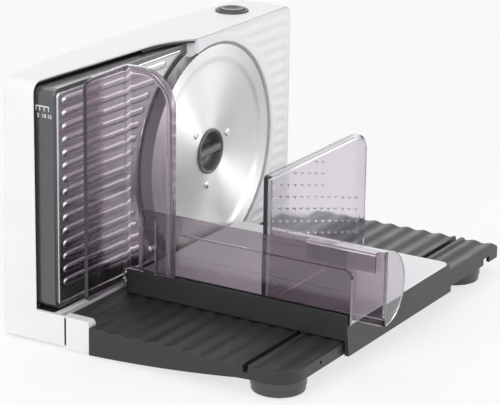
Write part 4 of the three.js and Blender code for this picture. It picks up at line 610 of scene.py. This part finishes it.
# Painted shade: a black strip in the gap under the housing's top, over the fence.
make(painted_pocket_shade(), "face_panel", material="black_plastic", slot="dark_plastic", name="painted_pocket_shade",
     stands=False)
# Painted shade: the fence's pocket and the slice duct are coloured black, not their own white, so the gaps
# round the fence read dark.
for node_name in ("fence_nest", "slice_duct"):
    make(cad_copy(node_name), node_name, material="black_plastic", slot="dark_plastic")

# Fence
FENCE_LEFT, FENCE_RIGHT = -196.0, -26.0
FENCE_LOW, FENCE_HIGH = 27.5, 192.3
FENCE_CORNER = 6.0
FENCE_BACK = 35.0
FENCE_FACE = 12.2
FENCE_LEAN = 2.8
FENCE_ARC = 86.4
PIN_X, PIN_RISE, PIN_HOLE = -165, 50, 3.3
DIAL_X, CAM_HOLE = -125, 12.5
PLATE_INSET, PLATE_ARC, PLATE_RIGHT, PLATE_Y = 3.0, RECESS + 7, -37.0, 11.3
RIBS, RIB_LEFT, RIB_LOW, RIB_PITCH = 15, -187.0, 46.6, 9.73
RIB_HALF, RIB_RISE, RIB_CAP = 3.1, 1.25, 5.0


def fence_outline(grow, arc, right):
    """The fence from the front: straight on three sides, cut round the blade on the fourth."""
    low, high, left = FENCE_LOW - grow, FENCE_HIGH + grow, FENCE_LEFT - grow
    corner = max(FENCE_CORNER + grow, 0.3)
    points = corner_points(left + corner, high - corner, corner, 90, 8)
    points += corner_points(left + corner, low + corner, corner, 180, 8)
    first = math.atan2(low - AXIS_Z, -math.sqrt(arc * arc - (AXIS_Z - low) ** 2)) + 2 * math.pi
    last = math.atan2(math.sqrt(arc * arc - right * right), right)
    for i in range(73):
        angle = first + (last - first) * i / 72
        points.append((arc * math.cos(angle), AXIS_Z + arc * math.sin(angle)))
    points.append((right, high))
    return points


def fence_lean(x):
    """How far the fence's front comes forward, which grows towards the blade."""
    return FENCE_LEAN * (x - FENCE_LEFT) / (FENCE_RIGHT - FENCE_LEFT)


def fence_ring(grow, arc, right, y):
    """A ring of the fence's outline, which leans unless it is at the back."""
    lean = fence_lean if y < FENCE_BACK - 5 else lambda x: 0
    return [at(x, y - lean(x), z) for x, z in fence_outline(grow, arc, right)]


def fence_body():
    tray = tube([fence_ring(g, FENCE_ARC - g, FENCE_RIGHT + g, y) for g, y in (
        (-0.8, FENCE_FACE), (-0.25, FENCE_FACE + 0.15), (0, FENCE_FACE + 0.8), (0, FENCE_BACK),
        (-2.5, FENCE_BACK), (-2.5, FENCE_FACE + 2.5))])
    front = FENCE_FACE + 2
    hubs = [lathe("y", [(r + 3, front), (r + 3, FENCE_BACK), (r, FENCE_BACK), (r, front)], x, z, 32)
            for x, z, r in ((PIN_X, AXIS_Z + PIN_RISE, PIN_HOLE), (PIN_X, AXIS_Z - PIN_RISE, PIN_HOLE),
                            (DIAL_X, AXIS_Z, CAM_HOLE))]
    return merged(tray, *hubs)


def fence_plate():
    """A sheet with a beaded rim and level ribs that end before the rim."""
    bead = ((0, 12.1), (0, 11.2), (0.25, 10.75), (0.8, 10.55), (1.4, 10.65), (1.9, 11.05), (2.1, PLATE_Y))
    forms = [tube([fence_ring(-PLATE_INSET - g, PLATE_ARC + 0.15 * g, PLATE_RIGHT - g, y) for g, y in bead])]
    for row in range(RIBS):
        z = RIB_LOW + RIB_PITCH * row
        end = -math.sqrt(max((PLATE_ARC + 5) ** 2 - (z - AXIS_Z) ** 2, 0))
        forms.append(fence_rib(RIB_LEFT, min(end, PLATE_RIGHT - 9), z))
    return merged(*forms)


def fence_rib(left, right, z):
    """A raised rib with a half-round section and domed ends."""
    places = []
    for i in range(9):
        angle = math.pi / 2 * i / 8
        places.append((left + RIB_CAP * (1 - math.cos(angle)), max(math.sin(angle), 0.01)))
    places += [(right - (x - left), size) for x, size in reversed(places)]
    turns = [math.pi * i / 14 for i in range(15)]
    rings = []
    for x, size in places:
        root = PLATE_Y + 0.05 - fence_lean(x)
        rings.append([at(x, root - RIB_RISE * size * math.sin(t), z + RIB_HALF * size * math.cos(t))
                      for t in turns])
    return tube(rings)


make(fence_body(), "fence_body", material="fence_plastic", angle=40)
make(fence_plate(), "fence_plate", material="plate_steel", angle=40)

# Thickness scale on the fence's left side: a line, short strokes and plain numbers
SCALE_X = -196.05
SCALE_TOP = 179.3
STROKE_YS, STROKE_HALF, STROKE_LENGTH = (16.2, 20.0, 23.8, 27.0), 0.35, 3.4
NUMBERS = (("5", 25.2), ("10", 20.2), ("15", 15.4))
NUMBER_SIZE, NUMBER_DROP = 3.9, 7


def scale_mark(y0, y1, z0, z1):
    return block(SCALE_X - 0.06, SCALE_X + 0.3, y0, y1, z0, z1)


def scale_marks():
    forms = [scale_mark(15.6, 27.4, SCALE_TOP - 0.45, SCALE_TOP + 0.45)]
    for y in STROKE_YS:
        forms.append(scale_mark(y - STROKE_HALF, y + STROKE_HALF, SCALE_TOP - STROKE_LENGTH, SCALE_TOP))
    return merged(*forms)


def scale_number(text, y):
    data = bpy.data.curves.new("number", "FONT")
    data.body = text
    data.align_x = "CENTER"
    data.align_y = "CENTER"
    data.size = NUMBER_SIZE * MM
    data.extrude = 0.15 * MM
    data.offset = 0.06 * MM
    thing = bpy.data.objects.new("number", data)
    bpy.context.scene.collection.objects.link(thing)
    graph = bpy.context.evaluated_depsgraph_get()
    work = bmesh.new()
    work.from_mesh(thing.evaluated_get(graph).to_mesh())
    turn = Matrix(((0, 0, -1), (-1, 0, 0), (0, 1, 0))).to_4x4()
    place = Matrix.Translation(at(SCALE_X + 0.1, y, SCALE_TOP - NUMBER_DROP))
    bmesh.ops.transform(work, matrix=place @ turn, verts=work.verts)
    bpy.data.objects.remove(thing)
    bpy.data.curves.remove(data)
    return work


make(scale_marks(), "fence_body", material="mark_paint", name="scale_lines", stands=False)
make(merged(*[scale_number(text, y) for text, y in NUMBERS]), "fence_body", material="mark_paint",
     name="scale_numbers", stands=False)

# Blade and what turns with it: profiles hold radius and depth
TEETH, TOOTH_DEPTH, TOOTHED_FROM = 108, 0.7, 84
BLADE_PROFILE = [
    (15.3, 4.0), (30, 4.0), (50, 4.0), (66, 4.0), (69.5, 3.95), (71.5, 3.6), (73.2, 2.9), (74.6, 2.45),
    (76, 2.3), (81.5, 2.1), (85, 2.0), (84.6, 2.15), (80, 3.1), (74, 3.8), (71, 5.5), (15.3, 5.5),
]
CUP_PROFILE = [
    (0, 21), (7.6, 21), (8, 20.6), (8, 13), (15, 13), (15, 3.9), (18, 3.9), (18, 3.0), (17.7, 2.6),
    (17, 2.35), (16.2, 2.45), (15.6, 2.9), (15.1, 3.8), (14.2, 6.4), (13.2, 8.6), (11.8, 10.2), (9.5, 10.9),
    (0, 11.1),
]
RIVET_PROFILE = [
    (0, 9), (1.8, 9), (1.8, 3.9), (3.2, 3.9), (3.1, 3.55), (2.6, 3.25), (1.6, 3.1), (0, 3.05),
]
BLADE_CENTRE = at(0, 4, AXIS_Z)
GRIP_REACH, GRIP_HALF, GRIP_TURN = 14.9, 3.5, -0.05
RIVETS, RIVET_CIRCLE, RIVET_TURN = 3, 27, 0.35


def blade_wave(radius, along, angle):
    if radius < TOOTHED_FROM:
        return radius
    return radius - TOOTH_DEPTH * (0.5 - 0.5 * math.cos(TEETH * angle))


def blade_knob():
    """A sunk cup with a grip bar across it."""
    cup = lathe("y", CUP_PROFILE, 0, AXIS_Z, 72)
    bar = slab("x", -GRIP_REACH, GRIP_REACH, 2.9, AXIS_Z - GRIP_HALF, 12, AXIS_Z + GRIP_HALF,
               [2.6, 0.2, 0.2, 2.6], 0.3)
    middle = Matrix.Translation(at(0, 0, AXIS_Z))
    turn = middle @ Matrix.Rotation(GRIP_TURN, 4, "Y") @ middle.inverted()
    bmesh.ops.transform(bar, matrix=turn, verts=bar.verts)
    return merged(cup, bar)


make(lathe("y", BLADE_PROFILE, 0, AXIS_Z, TEETH * 6, blade_wave), "blade", material="blade_steel", angle=25,
     origin=BLADE_CENTRE)
make(blade_knob(), "blade_knob", material="knob_plastic", angle=35, origin=BLADE_CENTRE)
for i in range(RIVETS):
    turn = RIVET_TURN + 2 * math.pi * i / RIVETS
    u, v = RIVET_CIRCLE * math.cos(turn), AXIS_Z + RIVET_CIRCLE * math.sin(turn)
    make(lathe("y", RIVET_PROFILE, u, v, 28), f"blade_rivet_{i + 1}", angle=50)

# Button on the top: profiles hold radius and height
BUTTON_X, BUTTON_Y = 68.0, 27.0
BEZEL_PROFILE = [
    (10.2, 198.1), (10.5, 198.5), (11.2, 198.65), (12.4, 198.6), (13.1, 198.25), (13.4, 197.6), (13.4, 197.1),
    (12.4, 197.1), (12.4, 170.5), (4, 170.5), (4, 173), (11.1, 173), (11.1, 195), (10.2, 195),
]
BUTTON_PROFILE = [
    (0, 198.1), (3, 198.15), (5.5, 198.5), (7.4, 199.2), (8.4, 199.5), (9.1, 199.55), (9.6, 199.25),
    (9.8, 198.7), (9.8, 194), (10.6, 194), (10.6, 190), (3.2, 190), (3.2, 167.6), (0, 167.6),
]
SPRING_TURNS, SPRING_RADIUS, SPRING_WIRE = 4, 7.15, 0.7
SPRING_FOOT, SPRING_RISE = 173.8, 15.4


def button_spring():
    """A coil of round wire between the cup's floor and the button's flange."""
    steps = 24
    wire = [2 * math.pi * k / 10 for k in range(10)]
    rings = []
    for i in range(SPRING_TURNS * steps + 1):
        turn = 2 * math.pi * i / steps
        height = SPRING_FOOT + SPRING_RISE * i / (SPRING_TURNS * steps)
        ring = []
        for a in wire:
            r = SPRING_RADIUS + SPRING_WIRE * math.cos(a)
            ring.append(at(BUTTON_X + r * math.cos(turn), BUTTON_Y + r * math.sin(turn),
                           height + SPRING_WIRE * math.sin(a)))
        rings.append(ring)
    return tube(rings)


make(lathe("z", BEZEL_PROFILE, BUTTON_X, BUTTON_Y, 72), "button_bezel", angle=40)
make(lathe("z", BUTTON_PROFILE, BUTTON_X, BUTTON_Y, 72), "power_button", material="grey_plastic", angle=40)
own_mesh(make(button_spring(), "button_spring", angle=60))

# Table and feet
TABLE_LEFT, TABLE_RIGHT = -200.0, 131.0
TABLE_FRONT, TABLE_REAR = -186.5, -19.8
TABLE_TOP, TABLE_UNDER, LIP_BOTTOM, LIP_BACK = 22.5, 18.1, 12.5, -184.0
SLOT_Y, SLOT_HALF, SLOT_FLOOR, SLOT_BORDER = -151.0, 1.7, 16.5, 5.4
RIPPLE_PITCH, RIPPLE_DEPTH = 15, 1.4
CORNER, RIGHT_CORNER = 21.0, 3.0
SKIRT_END = -144.5
NECK_LEFT, NECK_RIGHT, NECK_REAR, NECK_RUN = -189.7, 105.2, -0.33, 19.44
TONGUE_RIGHT, TONGUE_LOW = -47.3, 14.8
FOOT_XS = (("left", TABLE_LEFT + CORNER), ("right", 95.0))
FOOT_PROFILE = [
    (0, 17), (6, 17), (6, 12.1), (19.6, 12.1), (20, 11.7), (20, 6.2), (19.5, 5.8), (19.4, 5.4), (19.4, 2.4),
    (19, 1.5), (18, 1.0), (16.4, 1.0), (16.4, 2.6), (0, 2.6),
]


def table_top(y):
    """Height of the waved top, which is level along the guide slot."""
    if abs(y - SLOT_Y) < SLOT_BORDER:
        return TABLE_TOP
    return TABLE_TOP - RIPPLE_DEPTH * (0.5 - 0.5 * math.cos(2 * math.pi * y / RIPPLE_PITCH))


def skirt_low(y):
    """Lower edge of the left skirt, which sweeps up towards the front."""
    if y > CHEEK_FRONT:
        return LOW
    if y < SKIRT_END:
        return LIP_BOTTOM - max(y - TABLE_FRONT - CORNER, 0) / CORNER
    return curve_value((y - CHEEK_FRONT) / (SKIRT_END - CHEEK_FRONT), LOW, 3, LIP_BOTTOM - 1)


def table_section(y, left, right, top, under, low_left, low_right):
    """A cut across the table: a plate with a skirt on each side."""
    points = [(left, low_left), (left, top - 0.6), (left + 0.2, top - 0.15), (left + 0.7, top),
              (right - 0.7, top), (right - 0.2, top - 0.15), (right, top - 0.6), (right, low_right),
              (right - WALL, low_right), (right - WALL, under), (left + WALL, under), (left + WALL, low_left)]
    return [at(x, y, z) for x, z in points]


def table_rows():
    """Depths of the cuts from the table's rear to its front, close together in the rounded corner."""
    slot_rear, slot_front, bend = SLOT_Y + SLOT_HALF, SLOT_Y - SLOT_HALF, TABLE_FRONT + CORNER
    rows = [TABLE_REAR + (slot_rear - TABLE_REAR) * i / 170 for i in range(171)]
    rows += [slot_rear - 0.01, slot_front + 0.01]
    rows += [slot_front + (bend - slot_front) * i / 22 for i in range(23)]
    rows += [bend - CORNER * math.sin(math.pi / 2 * i / 28) for i in range(1, 28)]
    rows += [LIP_BACK + 0.01, LIP_BACK - 0.01]
    return sorted(set(rows), reverse=True)


def table():
    """A tongue under the housing's ledge, a neck between its cheeks and the wide plate before them."""
    rings = []
    for y in (7.2, 3.4, -0.3):
        rings.append(table_section(y, NECK_LEFT, TONGUE_RIGHT, TABLE_TOP - 0.2, TABLE_UNDER, TONGUE_LOW,
                                   TONGUE_LOW))
    for y in [NECK_REAR - NECK_RUN * i / 26 for i in range(27)]:
        rings.append(table_section(y, NECK_LEFT, NECK_RIGHT, table_top(y), TABLE_UNDER, skirt_low(y),
                                   LIP_BOTTOM))
    for y in table_rows():
        into = min(y - TABLE_FRONT - CORNER, 0)
        left = TABLE_LEFT + CORNER - math.sqrt(max(CORNER ** 2 - into ** 2, 0.01))
        edge = max(RIGHT_CORNER - (y - TABLE_FRONT), 0)
        right = TABLE_RIGHT - RIGHT_CORNER + math.sqrt(max(RIGHT_CORNER ** 2 - edge ** 2, 0))
        top = SLOT_FLOOR if abs(y - SLOT_Y) < SLOT_HALF else table_top(y)
        under = LIP_BOTTOM if y < LIP_BACK else min(TABLE_UNDER, top - 3)
        rings.append(table_section(y, left, right, top, under, min(skirt_low(y), under), LIP_BOTTOM))
    rings.append(table_section(TABLE_FRONT, TABLE_LEFT + CORNER, TABLE_RIGHT - RIGHT_CORNER,
                               table_top(TABLE_FRONT), LIP_BOTTOM, LIP_BOTTOM, LIP_BOTTOM))
    hole = lathe("y", [(0, -190), (1.3, -190), (1.3, -183), (0, -183)], -157, 17.5, 24)
    notch = block(104, 114, -190, -183, 10, 17.6)
    return combine("DIFFERENCE", tube(rings), hole, notch)


make(table(), "table", angle=30)
for side, x in FOOT_XS:
    make(lathe("z", FOOT_PROFILE, x, TABLE_FRONT + CORNER, 80), f"front_foot_{side}", angle=40)

# Carriage with its wall
WALL_INNER, WALL_OUTER, RAIL_OUTER = -119.0, -123.0, -121.0
WALL_LOW, WALL_TOP, RAIL_TOP, WALL_REAR = 34.0, 75.0, 89.0, -12.0
SCREW_Y, SCREW_Z, SCREW_HOLE = -23.3, 61, 1.9


def screw_hole(x0, x1):
    """A cutter for the screw that holds the guard on the wall."""
    return lathe("x", [(0, x0), (SCREW_HOLE, x0), (SCREW_HOLE, x1), (0, x1)], SCREW_Y, SCREW_Z, 24)


def wall_part(outer, low, high, groove, front, corner):
    """An upright strip of the carriage wall with a groove along its outer face and a rounded front corner."""
    inner, notch = WALL_INNER, outer + 0.5
    ends = [(front + corner * (1 - math.cos(t)), high - corner * (1 - math.sin(t)))
            for t in (math.pi / 2 * i / 8 for i in range(9))]
    rings = []
    for y, top in ends + [(WALL_REAR, high)]:
        points = [(outer + 0.4, low), (inner - 0.4, low), (inner, low + 0.4), (inner, top - 0.4),
                  (inner - 0.4, top), (outer + 0.4, top), (outer, top - 0.4), (outer, groove + 0.4),
                  (notch, groove + 0.3), (notch, groove - 0.3), (outer, groove - 0.4), (outer, low + 0.4)]
        rings.append([at(x, y, z) for x, z in points])
    return tube(rings)


def carriage_wall():
    """A thick foot with a thin rail standing on it."""
    foot = wall_part(WALL_OUTER, WALL_LOW, WALL_TOP, 59.4, -190.0, 6.0)
    rail = wall_part(RAIL_OUTER, WALL_TOP + 0.03, RAIL_TOP, 85.1, -184.5, 3.0)
    return merged(combine("DIFFERENCE", foot, screw_hole(-124, -118)), rail)


make(cad_copy("carriage_base"), "carriage_base", edge=0.4)
make(slab("z", 33.8, 35.3, -117.7, -189, 35.7, -1.8, [0.3, 5, 5, 0.3], 0.35), "carriage_bed", angle=40)
make(carriage_wall(), "carriage_wall", material="smoke_deep", angle=40)
# Painted light: a thin opaque sheet on the clear wall's front end, coloured as its lit rounded edge.
make(slab("y", -190.3, -190.05, -122.6, 34.4, -119.4, 68.6, [0.3] * 4, 0.1), "carriage_wall",
     material="painted_end_light", slot="smoke_clear", name="wall_end", angle=40, stands=False)

# Guard: a sheet along the fence, a bend, and a leg that comes forward beside the wall
GUARD_TOP, GUARD_FRONT, GUARD_LEFT = 198.5, -44.0, -178.0
GUARD_ARC, GUARD_BEAD, GUARD_CORNER, GUARD_HALF = 28.0, 5.5, 8, 1.5
SHEET_Y, SHEET_LOW, SHEET_SPOTS = -2.5, 32, [-165.0, -150.0, -140.0, -130.5]
LEG_X, LEG_Y, LEG_LOW = -124.8, -7, 42.4
LEG_REACH = LEG_Y - GUARD_FRONT
BEND = SHEET_Y - LEG_Y
BEAD_HALF, BEAD_RISE, BEAD_X, BEAD_INSET = 2.4, 1.4, -127.35, 0.3


def arch(distance, high, radius):
    """Height of a rounded top edge at a distance from the sheet's end."""
    if distance >= radius:
        return high
    return high - radius + math.sqrt(max(radius ** 2 - (radius - distance) ** 2, 0))


def guard_section(x, y, side, low, top, bead_low, swell):
    """A cut through the guard's sheet; side points to its outer face, which swells above bead_low."""
    half, outer = GUARD_HALF, GUARD_HALF + swell
    points = [(-1.1, low), (-half, low + 0.5), (-half, top - 0.6), (-1.0, top), (outer - 0.5, top),
              (outer, top - 0.6), (outer, bead_low + 0.4), (half, bead_low - 0.4), (half, low + 0.5),
              (1.1, low)]
    return [at(x + side[0] * u, y + side[1] * u, z) for u, z in points]


def guard_sheet():
    spots = [GUARD_LEFT + GUARD_CORNER * (1 - math.cos(math.pi / 2 * i / 10)) for i in range(11)]
    rings = []
    for x in spots + SHEET_SPOTS:
        top = arch(x - GUARD_LEFT, GUARD_TOP, GUARD_CORNER)
        low = SHEET_LOW + max(3 - (x - GUARD_LEFT), 0) ** 2 / 6
        rings.append(guard_section(x, SHEET_Y, (0, -1), low, top, top - 6, 0))
    return rings


def guard_bend():
    rings = []
    for i in range(11):
        angle = math.pi / 2 * (1 - i / 10)
        c, s = math.cos(angle), math.sin(angle)
        rings.append(guard_section(LEG_X - BEND + BEND * c, LEG_Y + BEND * s, (-c, -s), LEG_LOW, GUARD_TOP,
                                   GUARD_TOP - GUARD_BEAD, i / 10))
    return rings


def guard_leg():
    spots = [LEG_REACH - GUARD_ARC * (1 - math.sin(math.pi / 2 * i / 24)) for i in range(24)]
    spots = [3.0, 6.0] + [s for s in spots if s > 6]
    spots += [LEG_REACH - GUARD_BEAD - 0.2, LEG_REACH - GUARD_BEAD, LEG_REACH - 0.05]
    rings = []
    for s in sorted(spots):
        distance = LEG_REACH - s
        top = arch(distance, GUARD_TOP, GUARD_ARC)
        inner = arch(distance - GUARD_BEAD, GUARD_TOP - GUARD_BEAD, GUARD_ARC - GUARD_BEAD)
        bead_low = LEG_LOW + 1 if distance < GUARD_BEAD + 0.1 else inner
        rings.append(guard_section(LEG_X, LEG_Y - s, (-1, 0), LEG_LOW, top, min(bead_low, top - 1.2), 1))
    return rings


def hand_guard():
    ribs = [slab("x", -128.3, -126.0, y - 0.6, LEG_LOW + 0.1, y + 0.6, 86, [0.3] * 4, 0.15)
            for y in (-17.1, -29.5)]
    sheet = tube(guard_sheet() + guard_bend() + guard_leg())
    return combine("DIFFERENCE", combine("UNION", sheet, *ribs), screw_hole(-130, -120))


def guard_bead():
    """A half-round bead along the guard's free edge."""
    inset = BEAD_HALF + BEAD_INSET
    bend = GUARD_ARC - inset
    path = [(3.0, GUARD_TOP - inset, 0.0, 1.0)]
    for i in range(25):
        angle = math.pi / 2 * (1 - i / 24)
        c, v = math.cos(angle), math.sin(angle)
        path.append((LEG_REACH - GUARD_ARC + bend * c, GUARD_TOP - GUARD_ARC + bend * v, c, v))
    path.append((LEG_REACH - inset, 45.0, 1.0, 0.0))
    rings = []
    for s, z, c, v in path:
        ring = []
        for t in [math.pi * i / 12 for i in range(13)]:
            out = BEAD_HALF * math.cos(t)
            ring.append(at(BEAD_X - BEAD_RISE * math.sin(t), LEG_Y - s - c * out, z + v * out))
        rings.append(ring)
    return tube(rings)


make(hand_guard(), "hand_guard", material="smoke_guard", angle=40)
make(guard_bead(), "hand_guard", material="smoke_bead", name="guard_bead", angle=40, stands=False)

# Pusher
PUSHER_LEFT, PUSHER_RIGHT, PUSHER_LOW, PUSHER_TOP = -118.5, 26.0, 37.0, 131.5
PUSHER_SHEET, PUSHER_FACE, CHEEK_END, CHEEK_TOP = 2.6, -114.9, -215, 92.1
HOOK_FRONT, HOOK_REAR, HOOK_X = -209, -154, -123.1
SPIKE_COLUMNS, SPIKE_ROWS = 13, 10
SPIKE_X, SPIKE_Z, SPIKE_ACROSS, SPIKE_UP, SPIKE_SLOPE = 20.5, 42.0, 10.5, 9.1, 0.27
SPIKE_HALF, SPIKE_TIP, SPIKE_RISE = 1.3, 0.12, 3.4


def bed_room():
    """A cutter that keeps the pusher clear of the carriage's raised left edge."""
    return block(PUSHER_LEFT - 6, -117.5, -217, 0, 30, 42.5)


def pusher():
    """The face with its sunk front, and the rounded web at the far end of the cheek."""
    inset = PUSHER_SHEET
    face = slab("y", -121, PUSHER_FACE, PUSHER_LEFT, PUSHER_LOW, PUSHER_RIGHT, PUSHER_TOP, [2, 4, 16, 3], 0.7)
    pocket = slab("y", -123, PUSHER_FACE - inset, PUSHER_LEFT + inset, PUSHER_LOW + inset,
                  PUSHER_RIGHT - inset, PUSHER_TOP - inset, [0.5, 1.5, 13.4, 0.5], 0.4)
    web = slab("y", CHEEK_END, CHEEK_END + inset, PUSHER_LEFT + inset + 0.02, PUSHER_LOW, PUSHER_LEFT + 30,
               CHEEK_TOP, [0, 26, 27.2, 0], 0.4)
    return merged(combine("DIFFERENCE", face, pocket, bed_room()), web)


def pusher_cheek():
    """The pusher's side plate with the hook that rides on the carriage wall."""
    right = PUSHER_LEFT + PUSHER_SHEET
    cheek = slab("x", PUSHER_LEFT, right, CHEEK_END, PUSHER_LOW, -121.02, CHEEK_TOP, [3, 0, 0, 2], 0.4)
    bridge = block(HOOK_X, right, HOOK_FRONT, HOOK_REAR, CHEEK_TOP - PUSHER_SHEET, CHEEK_TOP)
    tongue = block(HOOK_X, HOOK_X + 1.6, HOOK_FRONT, HOOK_REAR, 77, CHEEK_TOP)
    return combine("DIFFERENCE", combine("UNION", cheek, bridge, tongue), bed_room())


def spikes():
    """Small teeth in sloping rows on the pusher's face; its upper right is left plain."""
    forms = []
    for column in range(SPIKE_COLUMNS):
        x = SPIKE_X - SPIKE_ACROSS * column
        slope = SPIKE_SLOPE * (SPIKE_X - x)
        ceiling = 124 if x < -30 else 79 + slope
        for row in range(SPIKE_ROWS):
            z = SPIKE_Z + SPIKE_UP * row + slope % SPIKE_UP
            if z < ceiling:
                forms.append(spike(x, z))
    return merged(*forms)


def spike(x, z):
    """A four-sided tooth with a blunt tip."""
    root = PUSHER_FACE - 0.05
    turns = [i * math.pi / 2 for i in range(4)]
    return tube([[at(x + half * math.cos(a), y, z + half * math.sin(a)) for a in turns]
                 for half, y in ((SPIKE_HALF, root), (SPIKE_TIP, root + SPIKE_RISE))])


make(pusher(), "pusher", angle=40)
make(pusher_cheek(), "pusher", material="smoke_deep", name="pusher_cheek", angle=40, stands=False)
make(spikes(), "pusher", name="pusher_spikes", angle=20, stands=False)

# Dial and screws
DIAL_FOOT, DIAL_END = (local(corner)[1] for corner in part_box("thickness_knob"))
FLUTES, FLUTE_DEPTH = 12, 0.8
DIAL_PROFILE = [
    (5.2, DIAL_FOOT), (21.5, DIAL_FOOT), (22, DIAL_FOOT + 0.5), (22, DIAL_FOOT + 2), (21.4, DIAL_FOOT + 2.5),
    (19.6, DIAL_FOOT + 3.4), (19.2, DIAL_END - 2.4), (18.6, DIAL_END - 1.4), (17.4, DIAL_END - 0.9),
    (15, DIAL_END - 1.1), (5, DIAL_END - 1.8), (0, DIAL_END - 1.8), (0, DIAL_FOOT + 8), (5.2, DIAL_FOOT + 8),
]


def flute(radius, along, angle):
    if 17 < radius < 21 and along > DIAL_FOOT + 3:
        return radius + FLUTE_DEPTH * math.cos(FLUTES * angle)
    return radius


def screw(node_name, axis, sign):
    """A pan head with a cross recess over its shank; sign tells which way along the axis the head faces."""
    low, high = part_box(node_name)
    i = "xyz".index(axis)
    tip, head = (local(corner)[i] for corner in ((low, high) if sign > 0 else (high, low)))
    middle = local((low + high) / 2)
    u, v = (middle[k] for k in AXES[axis])
    sides = ((1.6, 2), (3.1, 2), (3.1, 1.3), (2.7, 0.6), (1.8, 0.1))
    profile = [(0, tip), (1.6, tip), *((radius, head - sign * depth) for radius, depth in sides), (0, head)]
    cutters = []
    for du, dv in ((2, 0.4), (0.4, 2)):
        corners = [(u - du, v - dv), (u + du, v - dv), (u + du, v + dv), (u - du, v + dv)]
        ends = (head - sign * 1.1, head + sign)
        cutters.append(tube([[put(axis, along, a, b) for a, b in corners] for along in ends]))
    make(combine("DIFFERENCE", lathe(axis, profile, u, v, 28), *cutters), node_name, angle=40)


dial = lathe("y", DIAL_PROFILE, DIAL_X, AXIS_Z, 240, flute)
pointer = slab("y", DIAL_FOOT + 4, DIAL_END, DIAL_X - 1, AXIS_Z + 6, DIAL_X + 1, AXIS_Z + 19, [0.9] * 4, 0.3)
make(merged(dial, pointer), "thickness_knob", angle=40)
for i in range(4):
    screw(f"rear_cover_screw_{i + 1}", "y", 1)
for side in ("left", "right"):
    screw(f"table_screw_{side}", "z", -1)
screw("guard_screw", "x", -1)

# Studio: lamps hold name, place, size and power
FLOOR_GLOW = 0.72
SKY_LIGHT = 0.55
LAMP_AIM = Vector((0, 0, 0.1))
LAMPS = (
    ("front_low", Vector((0.95, -2.0, 0.2)), 0.9, 13),
    ("front_wide", Vector((-0.4, -2.4, 1.2)), 1.6, 7),
    ("right_low", Vector((1.9, -1.2, 0.25)), 0.9, 4),
    ("right_back", Vector((1.9, 1.2, 0.75)), 1.2, 3),
    ("fill_left", Vector((-2.1, 0.0, 1.2)), 1.2, 22),
    ("top_back", Vector((0.2, 0.7, 2.2)), 1.4, 9),
)


def make_floor():
    bpy.ops.mesh.primitive_plane_add(size=12, location=(0, 0, 0))
    floor = bpy.context.object
    floor.name = "floor"
    shader = Shader("floor_white", (0.9, 0.9, 0.905), 0.9)
    share = shader.add("ShaderNodeMath", operation="MULTIPLY")
    share.inputs[1].default_value = FLOOR_GLOW
    shader.link(shader.seen_rays(), share.inputs[0])
    glow = shader.add("ShaderNodeEmission", Color=(1, 1, 1, 1), Strength=1.0)
    shader.blend(share.outputs[0], shader.main.outputs["BSDF"], glow.outputs["Emission"], "Material Output")
    floor.data.materials.append(shader.material)


def make_world():
    world = bpy.data.worlds.new("studio")
    bpy.context.scene.world = world
    world.use_nodes = True
    nodes = Nodes(world.node_tree)
    lit = nodes.tree.nodes["Background"]
    lit.inputs["Color"].default_value = (1, 1, 1, 1)
    lit.inputs["Strength"].default_value = SKY_LIGHT
    shown = nodes.add("ShaderNodeBackground", Color=(1, 1, 1, 1), Strength=1.0)
    nodes.blend(nodes.seen_rays(), lit.outputs["Background"], shown.outputs["Background"], "World Output")


def make_lamp(name, place, size, power):
    data = bpy.data.lights.new(name, "AREA")
    data.shape = "DISK"
    data.size = size
    data.energy = power
    lamp = bpy.data.objects.new(name, data)
    lamp.location = place
    lamp.rotation_euler = (LAMP_AIM - place).to_track_quat("-Z", "Y").to_euler()
    bpy.context.scene.collection.objects.link(lamp)


make_camera()
make_floor()
make_world()
for lamp_values in LAMPS:
    make_lamp(*lamp_values)
bpy.context.scene.view_settings.view_transform = "Standard"
